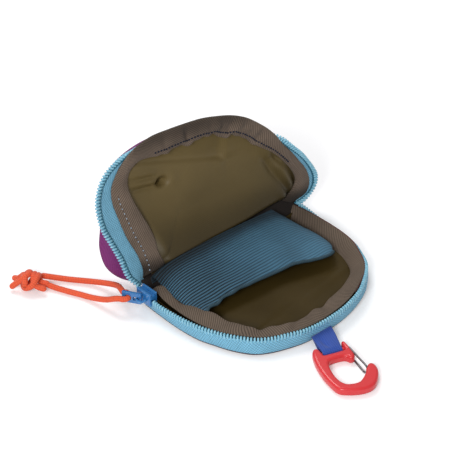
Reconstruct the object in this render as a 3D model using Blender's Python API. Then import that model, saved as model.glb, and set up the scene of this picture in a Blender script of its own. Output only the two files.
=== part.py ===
"""Small zipped clamshell pouch, lying open: a base half, a lid half folded back about a cloth hinge,
a zip round the other three sides with its slider and knotted pull cord, a stretch mesh pocket and
a webbing loop with a plastic carabiner. Metres, +Z up, X along the hinge, Y from front to hinge.
The origin is the middle of the base's flat underside."""

import math

import bmesh
import bpy
import numpy
from mathutils import Vector

# Outline of both halves, looked at from above with the pouch closed
RIM_WIDTH = 0.112
RIM_DEPTH = 0.077
HINGE_CORNER = 0.006
ROUNDNESS_SHARE = 2.7
LEAN_SHARE = -0.03
RIM_STATIONS = 36
CORNER_STATIONS = 3
HINGE_STATIONS = 8

# Heights, measured from the plane where the two rows of teeth meet
BASE_HEIGHT = 0.0095
LID_EDGE_HEIGHT = 0.0085
LID_BULGE = 0.0135
LID_ANGLE_LEFT = 115.0
LID_ANGLE_RIGHT = 91.0
PANEL_SHARES = (0.96, 0.88, 0.76, 0.58, 0.32)

# Cloth, tape and teeth
GAP = 0.0003
SHELL_THICKNESS = 0.0010
LINING_THICKNESS = 0.0008
BAND_THICKNESS = 0.0008
TAPE_THICKNESS = 0.0007
TAPE_INSET = 0.0005
TAPE_WIDTH = 0.0040
TOOTH_CLEARANCE = 0.00015
TOOTH_HEIGHT = 0.0011
TOOTH_PITCH = 0.0021
TOOTH_FACE_SHARE = 0.45
BEAD_HEIGHT = 0.0009
BEAD_WIDTH = 0.0017
BAND_TOP_BY_SLIDER = 0.0042
BAND_STEP = 0.0060
CHAIN_START_RIGHT = 0.0024
BAND_START = 0.0070

# Lid as it lies open: for stations from the hinge's left end over the top to its right end, shares of half
# the rim's width, of the rim's depth and of the lid's edge height
LID_SEAM_SHARES = (
    (-0.929, 0.013, 0.73), (-0.879, 0.047, 0.80), (-0.850, 0.094, 0.82), (-0.854, 0.156, 0.82),
    (-0.866, 0.221, 0.82), (-0.909, 0.338, 0.82), (-0.930, 0.474, 0.82), (-0.939, 0.592, 0.82),
    (-0.911, 0.683, 0.82), (-0.839, 0.751, 0.82), (-0.768, 0.795, 0.80), (-0.689, 0.836, 0.75),
    (-0.589, 0.870, 0.75), (-0.446, 0.895, 0.75), (-0.286, 0.897, 0.75), (-0.125, 0.895, 0.75),
    (0.029, 0.890, 0.75), (0.168, 0.870, 0.75), (0.307, 0.839, 0.75), (0.446, 0.787, 0.75),
    (0.588, 0.701, 0.73), (0.689, 0.623, 0.64), (0.771, 0.548, 0.52), (0.846, 0.470, 0.42),
    (0.914, 0.405, 0.38), (0.975, 0.340, 0.35), (1.057, 0.249, 0.35), (1.104, 0.161, 0.35),
    (1.104, 0.091, 0.35), (1.061, 0.042, 0.47), (0.982, 0.013, 0.73),
)
LID_FOLD_SHARES = (
    (-0.911, 0.018, 0.66), (-0.857, 0.049, 0.80), (-0.829, 0.094, 0.81), (-0.832, 0.156, 0.81),
    (-0.845, 0.221, 0.81), (-0.888, 0.336, 0.81), (-0.909, 0.473, 0.81), (-0.918, 0.590, 0.81),
    (-0.889, 0.678, 0.80), (-0.818, 0.748, 0.76), (-0.750, 0.803, 0.68), (-0.679, 0.849, 0.58),
    (-0.586, 0.886, 0.49), (-0.446, 0.912, 0.47), (-0.286, 0.914, 0.47), (-0.125, 0.913, 0.47),
    (0.029, 0.906, 0.47), (0.168, 0.886, 0.47), (0.311, 0.855, 0.47), (0.454, 0.800, 0.47),
    (0.596, 0.709, 0.47), (0.696, 0.629, 0.46), (0.761, 0.545, 0.40), (0.836, 0.473, 0.38),
    (0.904, 0.405, 0.36), (0.964, 0.340, 0.35), (1.046, 0.249, 0.35), (1.093, 0.161, 0.35),
    (1.093, 0.091, 0.35), (1.050, 0.044, 0.38), (0.975, 0.016, 0.52),
)
LID_EDGE_SHARES = (
    (-0.998, 0.012, 0.16), (-0.995, 0.044, 0.47), (-1.029, 0.096, 0.56), (-1.039, 0.164, 0.59),
    (-1.041, 0.231, 0.59), (-1.098, 0.358, 0.59), (-1.134, 0.478, 0.59), (-1.116, 0.616, 0.59),
    (-1.052, 0.709, 0.59), (-0.950, 0.784, 0.61), (-0.829, 0.836, 0.75), (-0.725, 0.875, 0.99),
    (-0.592, 0.882, 1.22), (-0.449, 0.906, 1.29), (-0.287, 0.909, 1.29), (-0.126, 0.906, 1.29),
    (0.029, 0.901, 1.29), (0.169, 0.882, 1.29), (0.309, 0.851, 1.29), (0.449, 0.799, 1.29),
    (0.614, 0.719, 1.20), (0.732, 0.649, 0.92), (0.829, 0.574, 0.54), (0.907, 0.494, 0.33),
    (0.986, 0.416, 0.24), (1.064, 0.322, 0.24), (1.139, 0.234, 0.24), (1.182, 0.161, 0.24),
    (1.179, 0.091, 0.24), (1.121, 0.034, 0.24), (1.021, 0.013, 0.40),
)
LID_BAND_SHARES = (
    (-0.768, 0.018, 0.89), (-0.650, 0.055, 0.94), (-0.623, 0.117, 0.94), (-0.623, 0.174, 0.94),
    (-0.634, 0.229, 0.94), (-0.664, 0.325, 0.94), (-0.718, 0.452, 0.94), (-0.755, 0.565, 0.94),
    (-0.759, 0.657, 0.94), (-0.725, 0.722, 0.94), (-0.668, 0.761, 0.94), (-0.586, 0.787, 0.94),
    (-0.496, 0.784, 0.94), (-0.382, 0.771, 0.94), (-0.243, 0.768, 0.94), (-0.096, 0.774, 0.94),
    (0.043, 0.771, 0.94), (0.154, 0.756, 0.94), (0.264, 0.725, 0.94), (0.379, 0.691, 0.94),
    (0.504, 0.621, 0.94), (0.607, 0.545, 0.82), (0.693, 0.496, 0.66), (0.775, 0.431, 0.53),
    (0.843, 0.364, 0.48), (0.896, 0.306, 0.47), (0.946, 0.242, 0.47), (0.968, 0.184, 0.47),
    (0.957, 0.130, 0.52), (0.925, 0.083, 0.61), (0.857, 0.044, 0.75),
)
LID_BELLY_SHARES = (
    (-0.821, -0.013, 1.53), (-0.902, 0.023, 1.65), (-0.955, 0.078, 1.71), (-1.000, 0.149, 1.76),
    (-1.018, 0.226, 1.76), (-1.018, 0.340, 1.76), (-1.009, 0.455, 1.65), (-0.991, 0.579, 1.53),
    (-0.946, 0.675, 1.47), (-0.882, 0.743, 1.47), (-0.796, 0.787, 1.47), (-0.704, 0.821, 1.47),
    (-0.600, 0.829, 1.53), (-0.454, 0.844, 1.59), (-0.293, 0.847, 1.59), (-0.129, 0.844, 1.59),
    (0.025, 0.839, 1.59), (0.164, 0.821, 1.59), (0.304, 0.790, 1.59), (0.439, 0.740, 1.59),
    (0.575, 0.660, 1.53), (0.682, 0.590, 1.47), (0.768, 0.519, 1.47), (0.846, 0.452, 1.47),
    (0.918, 0.392, 1.47), (0.979, 0.325, 1.47), (1.029, 0.239, 1.47), (1.050, 0.153, 1.47),
    (1.039, 0.083, 1.47), (0.993, 0.021, 1.51), (0.911, -0.010, 1.53),
)
LID_STATIONS = 40
LID_FINE_STATIONS = 1000
LID_ZIP_START_SHARE = 0.026
LID_BAND_START_SHARE = 0.024
LID_MIDDLE_SHARE = 0.4545
LID_HINGE_STATIONS = 10
LID_LIP_INSET = 0.0010
LID_LIP_DEPTH = 0.0014
LID_CORNER_PASSES = 2
SEAM_ROUND_SHARES = (0.0, 0.35, 0.70, 1.0)
BELLY_DOME_SHARES = (0.97, 0.90, 0.80, 0.66, 0.46, 0.24)
BELLY_FLATNESS_SHARE = 3.0
BELLY_ROUND_SHARE = 0.62
HINGE_LIP_REACH = 0.0009
HINGE_LIP_HEIGHT = 0.0070
HINGE_BELLY_REACH = -0.0016
HINGE_BELLY_HEIGHT = 0.0130
LINING_EDGE_SHARE = 0.45
LINING_DEPTH = 0.0015
LINING_DOME_SHARES = (1.0, 0.96, 0.88, 0.76, 0.58, 0.32)
LINING_FLATNESS_SHARE = 3.2
HINGE_LINING_REACH = 0.0030
HINGE_LINING_HEIGHT = 0.0078
RETURN_EASE_SHARE = 0.35

# Stretch mesh pocket and its bound hem
POCKET_DEPTH = 0.041
POCKET_RISE = 0.00765
POCKET_THICKNESS = 0.0008
POCKET_BACK = 0.0032
POCKET_SIDE_GAP = 0.0008
POCKET_BACK_LIFT = 0.00175
POCKET_SWELL_SHARES = (0.22, 0.72)
POCKET_COLUMNS = 18
POCKET_ROWS = 7
HEM_DIAMETER = 0.0018
HEM_SIDES = 6

# Zip slider
SLIDER_LENGTH = 0.0100
SLIDER_HEIGHT = 0.0072
SLIDER_PLATE = 0.0012
SLIDER_SIDE_GAP = 0.00045
SLIDER_SETBACK = 0.0010
SLIDER_TRAVEL = 0.0100
POST_HEIGHT = 0.0022
SLIDER_BEVEL = 0.0004
BRIDGE_WIRE = 0.0014
BRIDGE_REACH = 0.0024
BRIDGE_LENGTH = 0.0044
BRIDGE_OFFSET_SHARE = 0.1
BRIDGE_SHARES = (
    (-0.50, 0.00), (-0.50, 0.55), (-0.36, 0.90), (-0.12, 1.00), (0.12, 1.00), (0.36, 0.90), (0.50, 0.55),
    (0.50, 0.00),
)

# Puller and its eye
PULLER_LENGTH = 0.0096
PULLER_WIDTH = 0.0064
PULLER_THICKNESS = 0.0018
PULLER_PIN = 0.0012
PULLER_WINDOW = 0.0031
PULLER_ANGLE = 122.0
PULLER_EYE_SHARE = 0.65
PULLER_EYE_GAP = 0.0003
PULLER_HEIGHT_SHARE = 0.89
PIVOT_GAP = 0.0004

# Pull cord, with its route's points as they lie
CORD_DIAMETER = 0.0030
CORD_POINT_SPACING = 0.0025
BIGHT_REACH = 0.0038
BIGHT_SHARES = (
    (0.95, -1.00), (0.55, -1.00), (0.14, -0.72), (0.00, -0.35), (0.00, 0.35), (0.14, 0.72), (0.55, 1.00),
    (0.95, 1.00),
)
STRAND_START_SHARE = 0.6
CORD_UPPER_ROUTE = (
    (-0.0598, 0.0520, 0.0066),
    (-0.0608, 0.0602, 0.0042),
    (-0.0646, 0.0686, 0.0024),
    (-0.0712, 0.0776, 0.0019),
    (-0.0762, 0.0838, 0.0022),
    (-0.0808, 0.0878, 0.0034),
)
CORD_LOWER_ROUTE = (
    (-0.0694, 0.0496, 0.0044),
    (-0.0722, 0.0572, 0.0024),
    (-0.0748, 0.0646, 0.0018),
    (-0.0785, 0.0722, 0.0018),
    (-0.0815, 0.0788, 0.0020),
    (-0.0838, 0.0836, 0.0030),
)
KNOT_PLACE = (-0.0895, 0.0880, 0.0052)
KNOT_LENGTH = 0.0120
KNOT_WIDTH = 0.0130
KNOT_HEIGHT = 0.0088
KNOT_SIDES = 8
KNOT_HEADING = 128.0
KNOT_LOBES = 4
KNOT_LOBE_SHARE = 0.06
KNOT_PROFILE_SHARES = (
    (-0.50, 0.40), (-0.42, 0.78), (-0.22, 0.97), (0.00, 1.00), (0.22, 0.97), (0.40, 0.80), (0.50, 0.42),
)

# Webbing loop and the carabiner on it
WEBBING_WIDTH = 0.0122
WEBBING_THICKNESS = 0.0009
WEBBING_HEADING = 250.5
WEBBING_PLACE = -0.0068
WEBBING_LENGTH = 0.0142
WEBBING_PLY_GAP = 0.0004
WEBBING_STRAIGHT_SHARES = (1.00, 0.75, 0.50, 0.25, 0.08)
SEAM_HEIGHT = 0.0042
CARABINER_WIDTH = 0.0252
CARABINER_LENGTH = 0.0369
CARABINER_THICKNESS = 0.0045
CARABINER_BEVEL = 0.0009
BAR_DIAMETER = 0.0022
BAR_HEIGHT = 0.0024
BAR_GAP = 0.0003
GATE_WIRE = 0.0010
GATE_RECESS_GAP = 0.0003
CUT_OVERRUN = 0.0020
GROUND_GAP = 0.0001

# Carabiner outline: shares of its width and its length, from the middle of its webbing bar
CARABINER_OUTLINE_SHARES = (
    (-0.385, -0.035), (-0.345, -0.100), (-0.270, -0.098), (-0.215, -0.060), (0.215, -0.060),
    (0.275, -0.112), (0.345, -0.100), (0.385, -0.040), (0.365, 0.110), (0.340, 0.235), (0.270, 0.290),
    (0.175, 0.280), (0.115, 0.222), (-0.205, 0.222), (-0.245, 0.290), (-0.250, 0.430), (-0.215, 0.590),
    (-0.120, 0.690), (0.020, 0.722), (0.140, 0.705), (0.255, 0.625), (0.330, 0.570), (0.385, 0.545),
    (0.385, 0.480), (0.430, 0.455), (0.500, 0.465), (0.550, 0.520), (0.560, 0.600), (0.520, 0.710),
    (0.440, 0.830), (0.330, 0.890), (0.190, 0.890), (-0.120, 0.835), (-0.300, 0.780), (-0.385, 0.690),
    (-0.430, 0.480), (-0.440, 0.240), (-0.430, 0.040),
)
SLOT_SIDE_GAP = 0.0003
SLOT_START_SHARE = -0.2
CROSSBAR_SHARE = 0.092
GATE_PIVOT_SHARES = (0.300, 0.070)
GATE_NOSE_SHARES = (0.345, 0.500)
RECESS_ACROSS_SHARES = (0.120, 0.500)
RECESS_ALONG_SHARES = (-0.035, 0.305)
GATE_LEG_SHARES = (
    (0.00, 1.00), (0.50, 1.00), (0.93, 1.00), (0.99, 0.75), (1.00, 0.50), (0.99, 0.25), (0.93, 0.00),
    (0.50, 0.00), (0.12, 0.00),
)

# Places and fine steps that follow from the sizes above
HINGE_Y = RIM_DEPTH / 2
HINGE_Z = BASE_HEIGHT
FINE_STEPS = 8
ROUTE_STEPS = 12
BAR_SIDES = 16
CORNER_CUT_SHARE = 0.25


def material(name, colour, roughness, metallic=0.0):
    """Plain Principled material."""
    made = bpy.data.materials.new(name)
    made.use_nodes = True
    shader = made.node_tree.nodes["Principled BSDF"]
    shader.inputs["Base Color"].default_value = (*colour, 1.0)
    shader.inputs["Roughness"].default_value = roughness
    shader.inputs["Metallic"].default_value = metallic
    return made


def add_object(name, mesh, look, parent=None):
    """Object in the scene with one material, kept in place when it has a parent."""
    made = bpy.data.objects.new(name, mesh)
    bpy.context.collection.objects.link(made)
    if look:
        mesh.materials.append(look)
    if parent:
        made.parent = parent
        made.matrix_parent_inverse = parent_matrix(parent).inverted()
    return made


def parent_matrix(empty):
    """World matrix of an unparented or once-parented empty, without a view layer update."""
    if empty.parent:
        return parent_matrix(empty.parent) @ empty.matrix_parent_inverse @ empty.matrix_basis
    return empty.matrix_basis


def add_axis(name, place, parent=None):
    """Empty on a joint's axis."""
    made = bpy.data.objects.new(name, None)
    bpy.context.collection.objects.link(made)
    made.location = place
    if parent:
        made.parent = parent
        made.matrix_parent_inverse = parent_matrix(parent).inverted()
    return made


def solid(name, points, faces, look, parent=None):
    """Closed solid from world points, with its faces turned outward."""
    mesh = bpy.data.meshes.new(name)
    mesh.from_pydata([tuple(point) for point in points], [], faces)
    shape = bmesh.new()
    shape.from_mesh(mesh)
    bmesh.ops.recalc_face_normals(shape, faces=shape.faces)
    shape.to_mesh(mesh)
    shape.free()
    return add_object(name, mesh, look, parent)


def loft_closed(name, sections, look, parent=None):
    """Solid through sections of equal point count, with a cap on both ends."""
    count = len(sections[0])
    points = [point for section in sections for point in section]
    faces = []
    for row in range(len(sections) - 1):
        for side in range(count):
            after = (side + 1) % count
            faces.append((row * count + side, row * count + after,
                          (row + 1) * count + after, (row + 1) * count + side))
    faces.append(tuple(range(count)))
    faces.append(tuple((len(sections) - 1) * count + side for side in range(count)))
    return solid(name, points, faces, look, parent)


def loft_dish(name, rings, first_point, last_point, look, parent=None):
    """Solid of closed rings that starts at one middle point and ends at another."""
    count = len(rings[0])
    points = [first_point] + [point for ring in rings for point in ring] + [last_point]
    last = len(points) - 1
    faces = []
    for side in range(count):
        after = (side + 1) % count
        faces.append((0, 1 + side, 1 + after))
        faces.append((last, last - count + after, last - count + side))
    for row in range(len(rings) - 1):
        for side in range(count):
            after = (side + 1) % count
            start = 1 + row * count
            faces.append((start + side, start + after, start + count + after, start + count + side))
    return solid(name, points, faces, look, parent)


def leaned(x, reach):
    """The soft pouch leans a little to its right towards the front."""
    return x + LEAN_SHARE * (RIM_DEPTH / 2 - reach), reach


def side_curve(inset, t):
    """Point on the rounded D, t from 0 at the right side to 1 at the left."""
    turn = math.pi * t
    half = RIM_WIDTH / 2 - inset
    deep = RIM_DEPTH - inset - HINGE_CORNER
    power = 2.0 / ROUNDNESS_SHARE
    across = math.copysign(abs(math.cos(turn)) ** power, math.cos(turn)) * half
    return across, HINGE_CORNER + deep * abs(math.sin(turn)) ** power


def even_stations(path, count):
    """The same path with its points spread evenly along it."""
    lengths = [0.0]
    for before, after in zip(path, path[1:]):
        lengths.append(lengths[-1] + (Vector(after) - Vector(before)).length)
    made = []
    row = 0
    for step in range(count):
        target = lengths[-1] * step / (count - 1)
        while row < len(path) - 2 and lengths[row + 1] < target:
            row += 1
        span = lengths[row + 1] - lengths[row]
        share = min(1.0, (target - lengths[row]) / span) if span else 0.0
        made.append(tuple(Vector(path[row]).lerp(Vector(path[row + 1]), share)))
    return made


def path_length(path):
    """Length along a row of points."""
    return sum((Vector(after) - Vector(before)).length for before, after in zip(path, path[1:]))


def zip_line(inset, start_right, start_left):
    """Line of the zip: up the right side, round the front and back down the left side."""
    dense = RIM_STATIONS * FINE_STEPS
    curve = [side_curve(inset, step / dense) for step in range(dense + 1)]
    half = RIM_WIDTH / 2 - inset
    line = [(half, start_right)] + [point for point in curve if point[1] > start_right or point[0] < 0]
    kept = [point for point in line if point[0] > 0 or point[1] > start_left]
    return [leaned(*point) for point in kept + [(-half, start_left)]]


def closed_ring(inset):
    """Closed outline: the D, its two hinge corners and the straight hinge edge."""
    corner = HINGE_CORNER - inset
    half = RIM_WIDTH / 2 - inset
    ring = [side_curve(inset, step / RIM_STATIONS) for step in range(RIM_STATIONS + 1)]
    for step in range(1, CORNER_STATIONS + 1):
        turn = math.pi * (1.0 + 0.5 * step / CORNER_STATIONS)
        ring.append((-half + corner + corner * math.cos(turn), HINGE_CORNER + corner * math.sin(turn)))
    edge = half - corner
    for step in range(1, HINGE_STATIONS):
        ring.append((-edge + 2 * edge * step / HINGE_STATIONS, inset))
    for step in range(CORNER_STATIONS):
        turn = math.pi * (1.5 + 0.5 * step / CORNER_STATIONS)
        ring.append((half - corner + corner * math.cos(turn), HINGE_CORNER + corner * math.sin(turn)))
    return [leaned(*point) for point in ring]


def drawn_in(ring, share):
    """Ring drawn in towards the middle of the outline."""
    middle = Vector((0.0, RIM_DEPTH / 2))
    return [tuple(middle + (Vector(point) - middle) * share) for point in ring]


def on_base(x, reach, height):
    """World point of the base, whose heights go down from the zip plane."""
    return Vector((x, HINGE_Y - reach, HINGE_Z - height))


def lid_angle(x):
    """The lid's opening angle, which falls from the left end of the hinge to the right end."""
    share = min(1.0, max(0.0, x / RIM_WIDTH + 0.5))
    return math.radians(LID_ANGLE_LEFT + (LID_ANGLE_RIGHT - LID_ANGLE_LEFT) * share)


def on_lid(x, reach, height):
    """World point of the lid, whose heights go out from the zip plane."""
    turn = lid_angle(x)
    back = height * math.sin(turn) - reach * math.cos(turn)
    up = reach * math.sin(turn) + height * math.cos(turn)
    return Vector((x, HINGE_Y + back, HINGE_Z + up))


def panel_rings(inset, depth):
    """Rings of the base's flat panel at one depth, from near its middle out to its edge."""
    outline = closed_ring(inset)
    rings = [drawn_in(outline, share) for share in reversed(PANEL_SHARES)] + [outline]
    return [[on_base(x, reach, depth) for x, reach in ring] for ring in rings]


def make_base_shell(look):
    """Outer cloth of the base: a flat panel with a low upright lip up to the zip tape."""
    lip = TOOTH_CLEARANCE + TOOTH_HEIGHT + BEAD_HEIGHT + TAPE_WIDTH + 2 * GAP
    outside = panel_rings(0.0, BASE_HEIGHT)
    inside = panel_rings(SHELL_THICKNESS, BASE_HEIGHT - SHELL_THICKNESS)
    lip_rings = [[on_base(x, reach, lip) for x, reach in closed_ring(inset)]
                 for inset in (0.0, SHELL_THICKNESS)]
    rings = outside + lip_rings + list(reversed(inside))
    first = on_base(0.0, RIM_DEPTH / 2, BASE_HEIGHT)
    last = on_base(0.0, RIM_DEPTH / 2, BASE_HEIGHT - SHELL_THICKNESS)
    return loft_dish("base_shell", rings, first, last, look)


def make_base_lining(look):
    """Lining cloth on the floor of the base."""
    lower = BASE_HEIGHT - SHELL_THICKNESS - GAP
    upper = lower - LINING_THICKNESS
    inset = SHELL_THICKNESS + 2 * GAP
    rings = panel_rings(inset, lower) + list(reversed(panel_rings(inset, upper)))
    first = on_base(0.0, RIM_DEPTH / 2, lower)
    last = on_base(0.0, RIM_DEPTH / 2, upper)
    return loft_dish("base_lining", rings, first, last, look)


def make_base_strip(name, line_out, line_in, top, bottom, look):
    """Upright strip between two lines of the base, from its top height down to its bottom height."""
    sections = []
    for out, inn, high in zip(line_out, line_in, top):
        corners = ((out, high), (out, bottom), (inn, bottom), (inn, high))
        sections.append([on_base(*point, height) for point, height in corners])
    return loft_closed(name, sections, look)


def make_base_tape(look):
    """Woven zip tape, standing between the outer cloth's lip and the teeth."""
    top = TOOTH_CLEARANCE + TOOTH_HEIGHT + BEAD_HEIGHT + GAP
    stations = RIM_STATIONS + 1
    start_right = CHAIN_START_RIGHT - GAP
    out = even_stations(zip_line(TAPE_INSET, start_right, GAP), stations)
    inn = even_stations(zip_line(TAPE_INSET + TAPE_THICKNESS, start_right, GAP), stations)
    return make_base_strip("base_zip_tape", out, inn, [top] * stations, top + TAPE_WIDTH, look)


def make_base_band(look):
    """Facing band inside the tape, cut lower beside the slider's run."""
    inset = TAPE_INSET + TAPE_THICKNESS + GAP
    stations = RIM_STATIONS + 1
    out = even_stations(zip_line(inset, BAND_START, BAND_START), stations)
    inn = even_stations(zip_line(inset + BAND_THICKNESS, BAND_START, BAND_START), stations)
    run = SLIDER_LENGTH + SLIDER_TRAVEL
    full = TOOTH_CLEARANCE + TOOTH_HEIGHT + BEAD_HEIGHT + GAP
    top = []
    for x, reach in out:
        share = min(1.0, max(0.0, (reach - run) / BAND_STEP)) if x < 0 else 1.0
        top.append(BAND_TOP_BY_SLIDER + (full - BAND_TOP_BY_SLIDER) * share)
    bottom = BASE_HEIGHT - SHELL_THICKNESS - LINING_THICKNESS - 2 * GAP
    return make_base_strip("base_facing_band", out, inn, top, bottom, look)


def make_base_teeth(look):
    """Lower row of zip teeth on its bead, as one comb."""
    centre = TAPE_INSET + TAPE_THICKNESS / 2
    line = zip_line(centre, CHAIN_START_RIGHT, GAP)
    teeth = int(path_length(line) / TOOTH_PITCH)
    even = even_stations(line, teeth * FINE_STEPS + 1)
    tip = TOOTH_CLEARANCE
    root = TOOTH_CLEARANCE + TOOTH_HEIGHT
    foot = root + BEAD_HEIGHT
    face = round(TOOTH_FACE_SHARE * FINE_STEPS)
    marks = [(0, root)]
    for tooth in range(teeth):
        start = tooth * FINE_STEPS + (FINE_STEPS - face) // 2
        marks += [(start, tip), (start + face, tip), ((tooth + 1) * FINE_STEPS, root)]
    sections = []
    for mark, height in marks:
        before = Vector(even[max(0, mark - 1)])
        after = Vector(even[min(len(even) - 1, mark + 1)])
        along = (after - before).normalized()
        side = Vector((along.y, -along.x)) * BEAD_WIDTH / 2
        out = Vector(even[mark]) + side
        inn = Vector(even[mark]) - side
        corners = ((out, height), (out, foot), (inn, foot), (inn, height))
        sections.append([on_base(*point, depth) for point, depth in corners])
    return loft_closed("base_zip_teeth", sections, look)


def lid_rows():
    """Closely spaced stations round the lid. Each holds the points of the lid's five lines as one row,
    smoothed by the cubic whose slope is half the chord between its neighbours."""
    tables = (LID_SEAM_SHARES, LID_FOLD_SHARES, LID_EDGE_SHARES, LID_BAND_SHARES, LID_BELLY_SHARES)
    scale = numpy.array((RIM_WIDTH / 2, RIM_DEPTH, LID_EDGE_HEIGHT))
    points = numpy.hstack([numpy.array(table) * scale for table in tables])
    ends = numpy.vstack([2 * points[0] - points[1], points, 2 * points[-1] - points[-2]])
    at = numpy.linspace(0.0, len(points) - 1.0, LID_FINE_STATIONS)
    row = numpy.minimum(at.astype(int), len(points) - 2)
    t = (at - row)[:, None]
    a, b, c, d = ends[row], ends[row + 1], ends[row + 2], ends[row + 3]
    return 0.5 * (2 * b + (c - a) * t + (2 * a - 5 * b + 4 * c - d) * t ** 2
                  + (3 * b - a - 3 * c + d) * t ** 3)


def lid_stations(dense, count, start=0.0, end=1.0):
    """Rows of the lid at even places along its seam, between two shares of its length."""
    steps = numpy.linalg.norm(numpy.diff(dense[:, :3], axis=0), axis=1)
    run = numpy.concatenate([[0.0], numpy.cumsum(steps)])
    wanted = numpy.linspace(start, end, count) * run[-1]
    return numpy.stack([numpy.interp(wanted, run, dense[:, k]) for k in range(dense.shape[1])], axis=1)


def unit_rows(vectors):
    """Each vector over its length."""
    return vectors / numpy.linalg.norm(vectors, axis=-1, keepdims=True)


def lid_point(point):
    """World point of the lid from its place across, its reach and its height."""
    return on_lid(float(point[0]), float(point[1]), float(point[2]))


def make_lid_strip(name, first, second, thickness, look, parent):
    """Flat cloth strip between two lines of the lid, of even thickness about their middle surface."""
    across = unit_rows(second - first)
    normal = unit_rows(numpy.cross(numpy.gradient(first, axis=0), across)) * thickness / 2
    sections = []
    for a, b, n in zip(first, second, normal):
        sections.append([lid_point(point) for point in (a - n, b - n, b + n, a + n)])
    return loft_closed(name, sections, look, parent)


def make_lid_tape(dense, look, parent):
    """Zip tape of the lid, from the band's seam to the teeth."""
    rows = lid_stations(dense, LID_STATIONS, LID_ZIP_START_SHARE, 1.0)
    seam, edge = rows[:, :3], rows[:, 6:9]
    across = unit_rows(edge - seam)
    outer = edge - across * (TOOTH_HEIGHT + BEAD_HEIGHT + GAP)
    return make_lid_strip("lid_zip_tape", seam + across * GAP, outer, TAPE_THICKNESS, look, parent)


def make_lid_band(dense, look, parent):
    """Facing band of the lid, from its fold to its inner edge."""
    rows = lid_stations(dense, LID_STATIONS, LID_BAND_START_SHARE, 1.0 - LID_BAND_START_SHARE)
    return make_lid_strip("lid_facing_band", rows[:, 3:6], rows[:, 9:12], BAND_THICKNESS, look, parent)


def make_lid_teeth(dense, look, parent):
    """Upper row of zip teeth on its bead, as one comb along the tape's outer edge."""
    rows = lid_stations(dense, LID_FINE_STATIONS, LID_ZIP_START_SHARE, 1.0)
    length = float(numpy.sum(numpy.linalg.norm(numpy.diff(rows[:, 6:9], axis=0), axis=1)))
    teeth = int(length / TOOTH_PITCH)
    rows = lid_stations(dense, teeth * FINE_STEPS + 1, LID_ZIP_START_SHARE, 1.0)
    seam, edge = rows[:, :3], rows[:, 6:9]
    across = unit_rows(edge - seam)
    normal = unit_rows(numpy.cross(numpy.gradient(edge, axis=0), across)) * BEAD_WIDTH / 2
    face = round(TOOTH_FACE_SHARE * FINE_STEPS)
    marks = [(0, TOOTH_HEIGHT)]
    for tooth in range(teeth):
        start = tooth * FINE_STEPS + (FINE_STEPS - face) // 2
        marks += [(start, 0.0), (start + face, 0.0), ((tooth + 1) * FINE_STEPS, TOOTH_HEIGHT)]
    sections = []
    for mark, depth in marks:
        tip = edge[mark] - across[mark] * depth
        foot = edge[mark] - across[mark] * (TOOTH_HEIGHT + BEAD_HEIGHT)
        n = normal[mark]
        sections.append([lid_point(point) for point in (tip - n, foot - n, foot + n, tip + n)])
    return loft_closed("lid_zip_teeth", sections, look, parent)


def lid_ring(line, reach, height):
    """Closed ring: a line of the lid and its way back along the hinge, with its corners eased."""
    share = numpy.linspace(0.0, 1.0, LID_HINGE_STATIONS + 2)[1:-1, None]
    way = line[-1] * (1.0 - share) + line[0] * share
    ease = numpy.sin(math.pi * share[:, 0]) ** RETURN_EASE_SHARE
    way[:, 1] += (reach - way[:, 1]) * ease
    way[:, 2] += (height - way[:, 2]) * ease
    ring = numpy.vstack([line, way])
    for _ in range(LID_CORNER_PASSES):
        ring = (2 * ring + numpy.roll(ring, 1, axis=0) + numpy.roll(ring, -1, axis=0)) / 4
    return ring


def make_lid_shell(dense, look, parent):
    """Outer cloth of the lid: a soft dome that swells from its seam to its belly and over to its top."""
    rows = lid_stations(dense, LID_STATIONS)
    middle = numpy.array((0.0, RIM_DEPTH * LID_MIDDLE_SHARE))
    lip = rows[:, :3].copy()
    lip[:, :2] += unit_rows(middle - lip[:, :2]) * LID_LIP_INSET
    lip[:, 2] += LID_LIP_DEPTH
    lip = lid_ring(lip, HINGE_LIP_REACH, HINGE_LIP_HEIGHT)
    belly = lid_ring(rows[:, 12:15], HINGE_BELLY_REACH, HINGE_BELLY_HEIGHT)
    top = LID_EDGE_HEIGHT + LID_BULGE
    rings = []
    for share in SEAM_ROUND_SHARES:
        turn = share * math.pi / 2
        ring = lip + (belly - lip) * math.sin(turn)
        ring[:, 2] = lip[:, 2] + (belly[:, 2] - lip[:, 2]) * (1.0 - math.cos(turn))
        rings.append(ring)
    for share in BELLY_DOME_SHARES:
        ring = belly.copy()
        ring[:, :2] = middle + (belly[:, :2] - middle) * share
        ring[:, 2] += (top - belly[:, 2]) * (1.0 - share ** BELLY_FLATNESS_SHARE) ** BELLY_ROUND_SHARE
        rings.append(ring)
    rings = numpy.array(rings)
    along = numpy.roll(rings, -1, axis=1) - numpy.roll(rings, 1, axis=1)
    normal = unit_rows(numpy.cross(numpy.gradient(rings, axis=0), along))
    inside = rings - normal * SHELL_THICKNESS
    outer = [[lid_point(point) for point in ring] for ring in rings[::-1]]
    inner = [[lid_point(point) for point in ring] for ring in inside]
    first = lid_point((0.0, middle[1], top))
    last = lid_point((0.0, middle[1], top - SHELL_THICKNESS))
    return loft_dish("lid_shell", outer + inner, first, last, look, parent)


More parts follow.
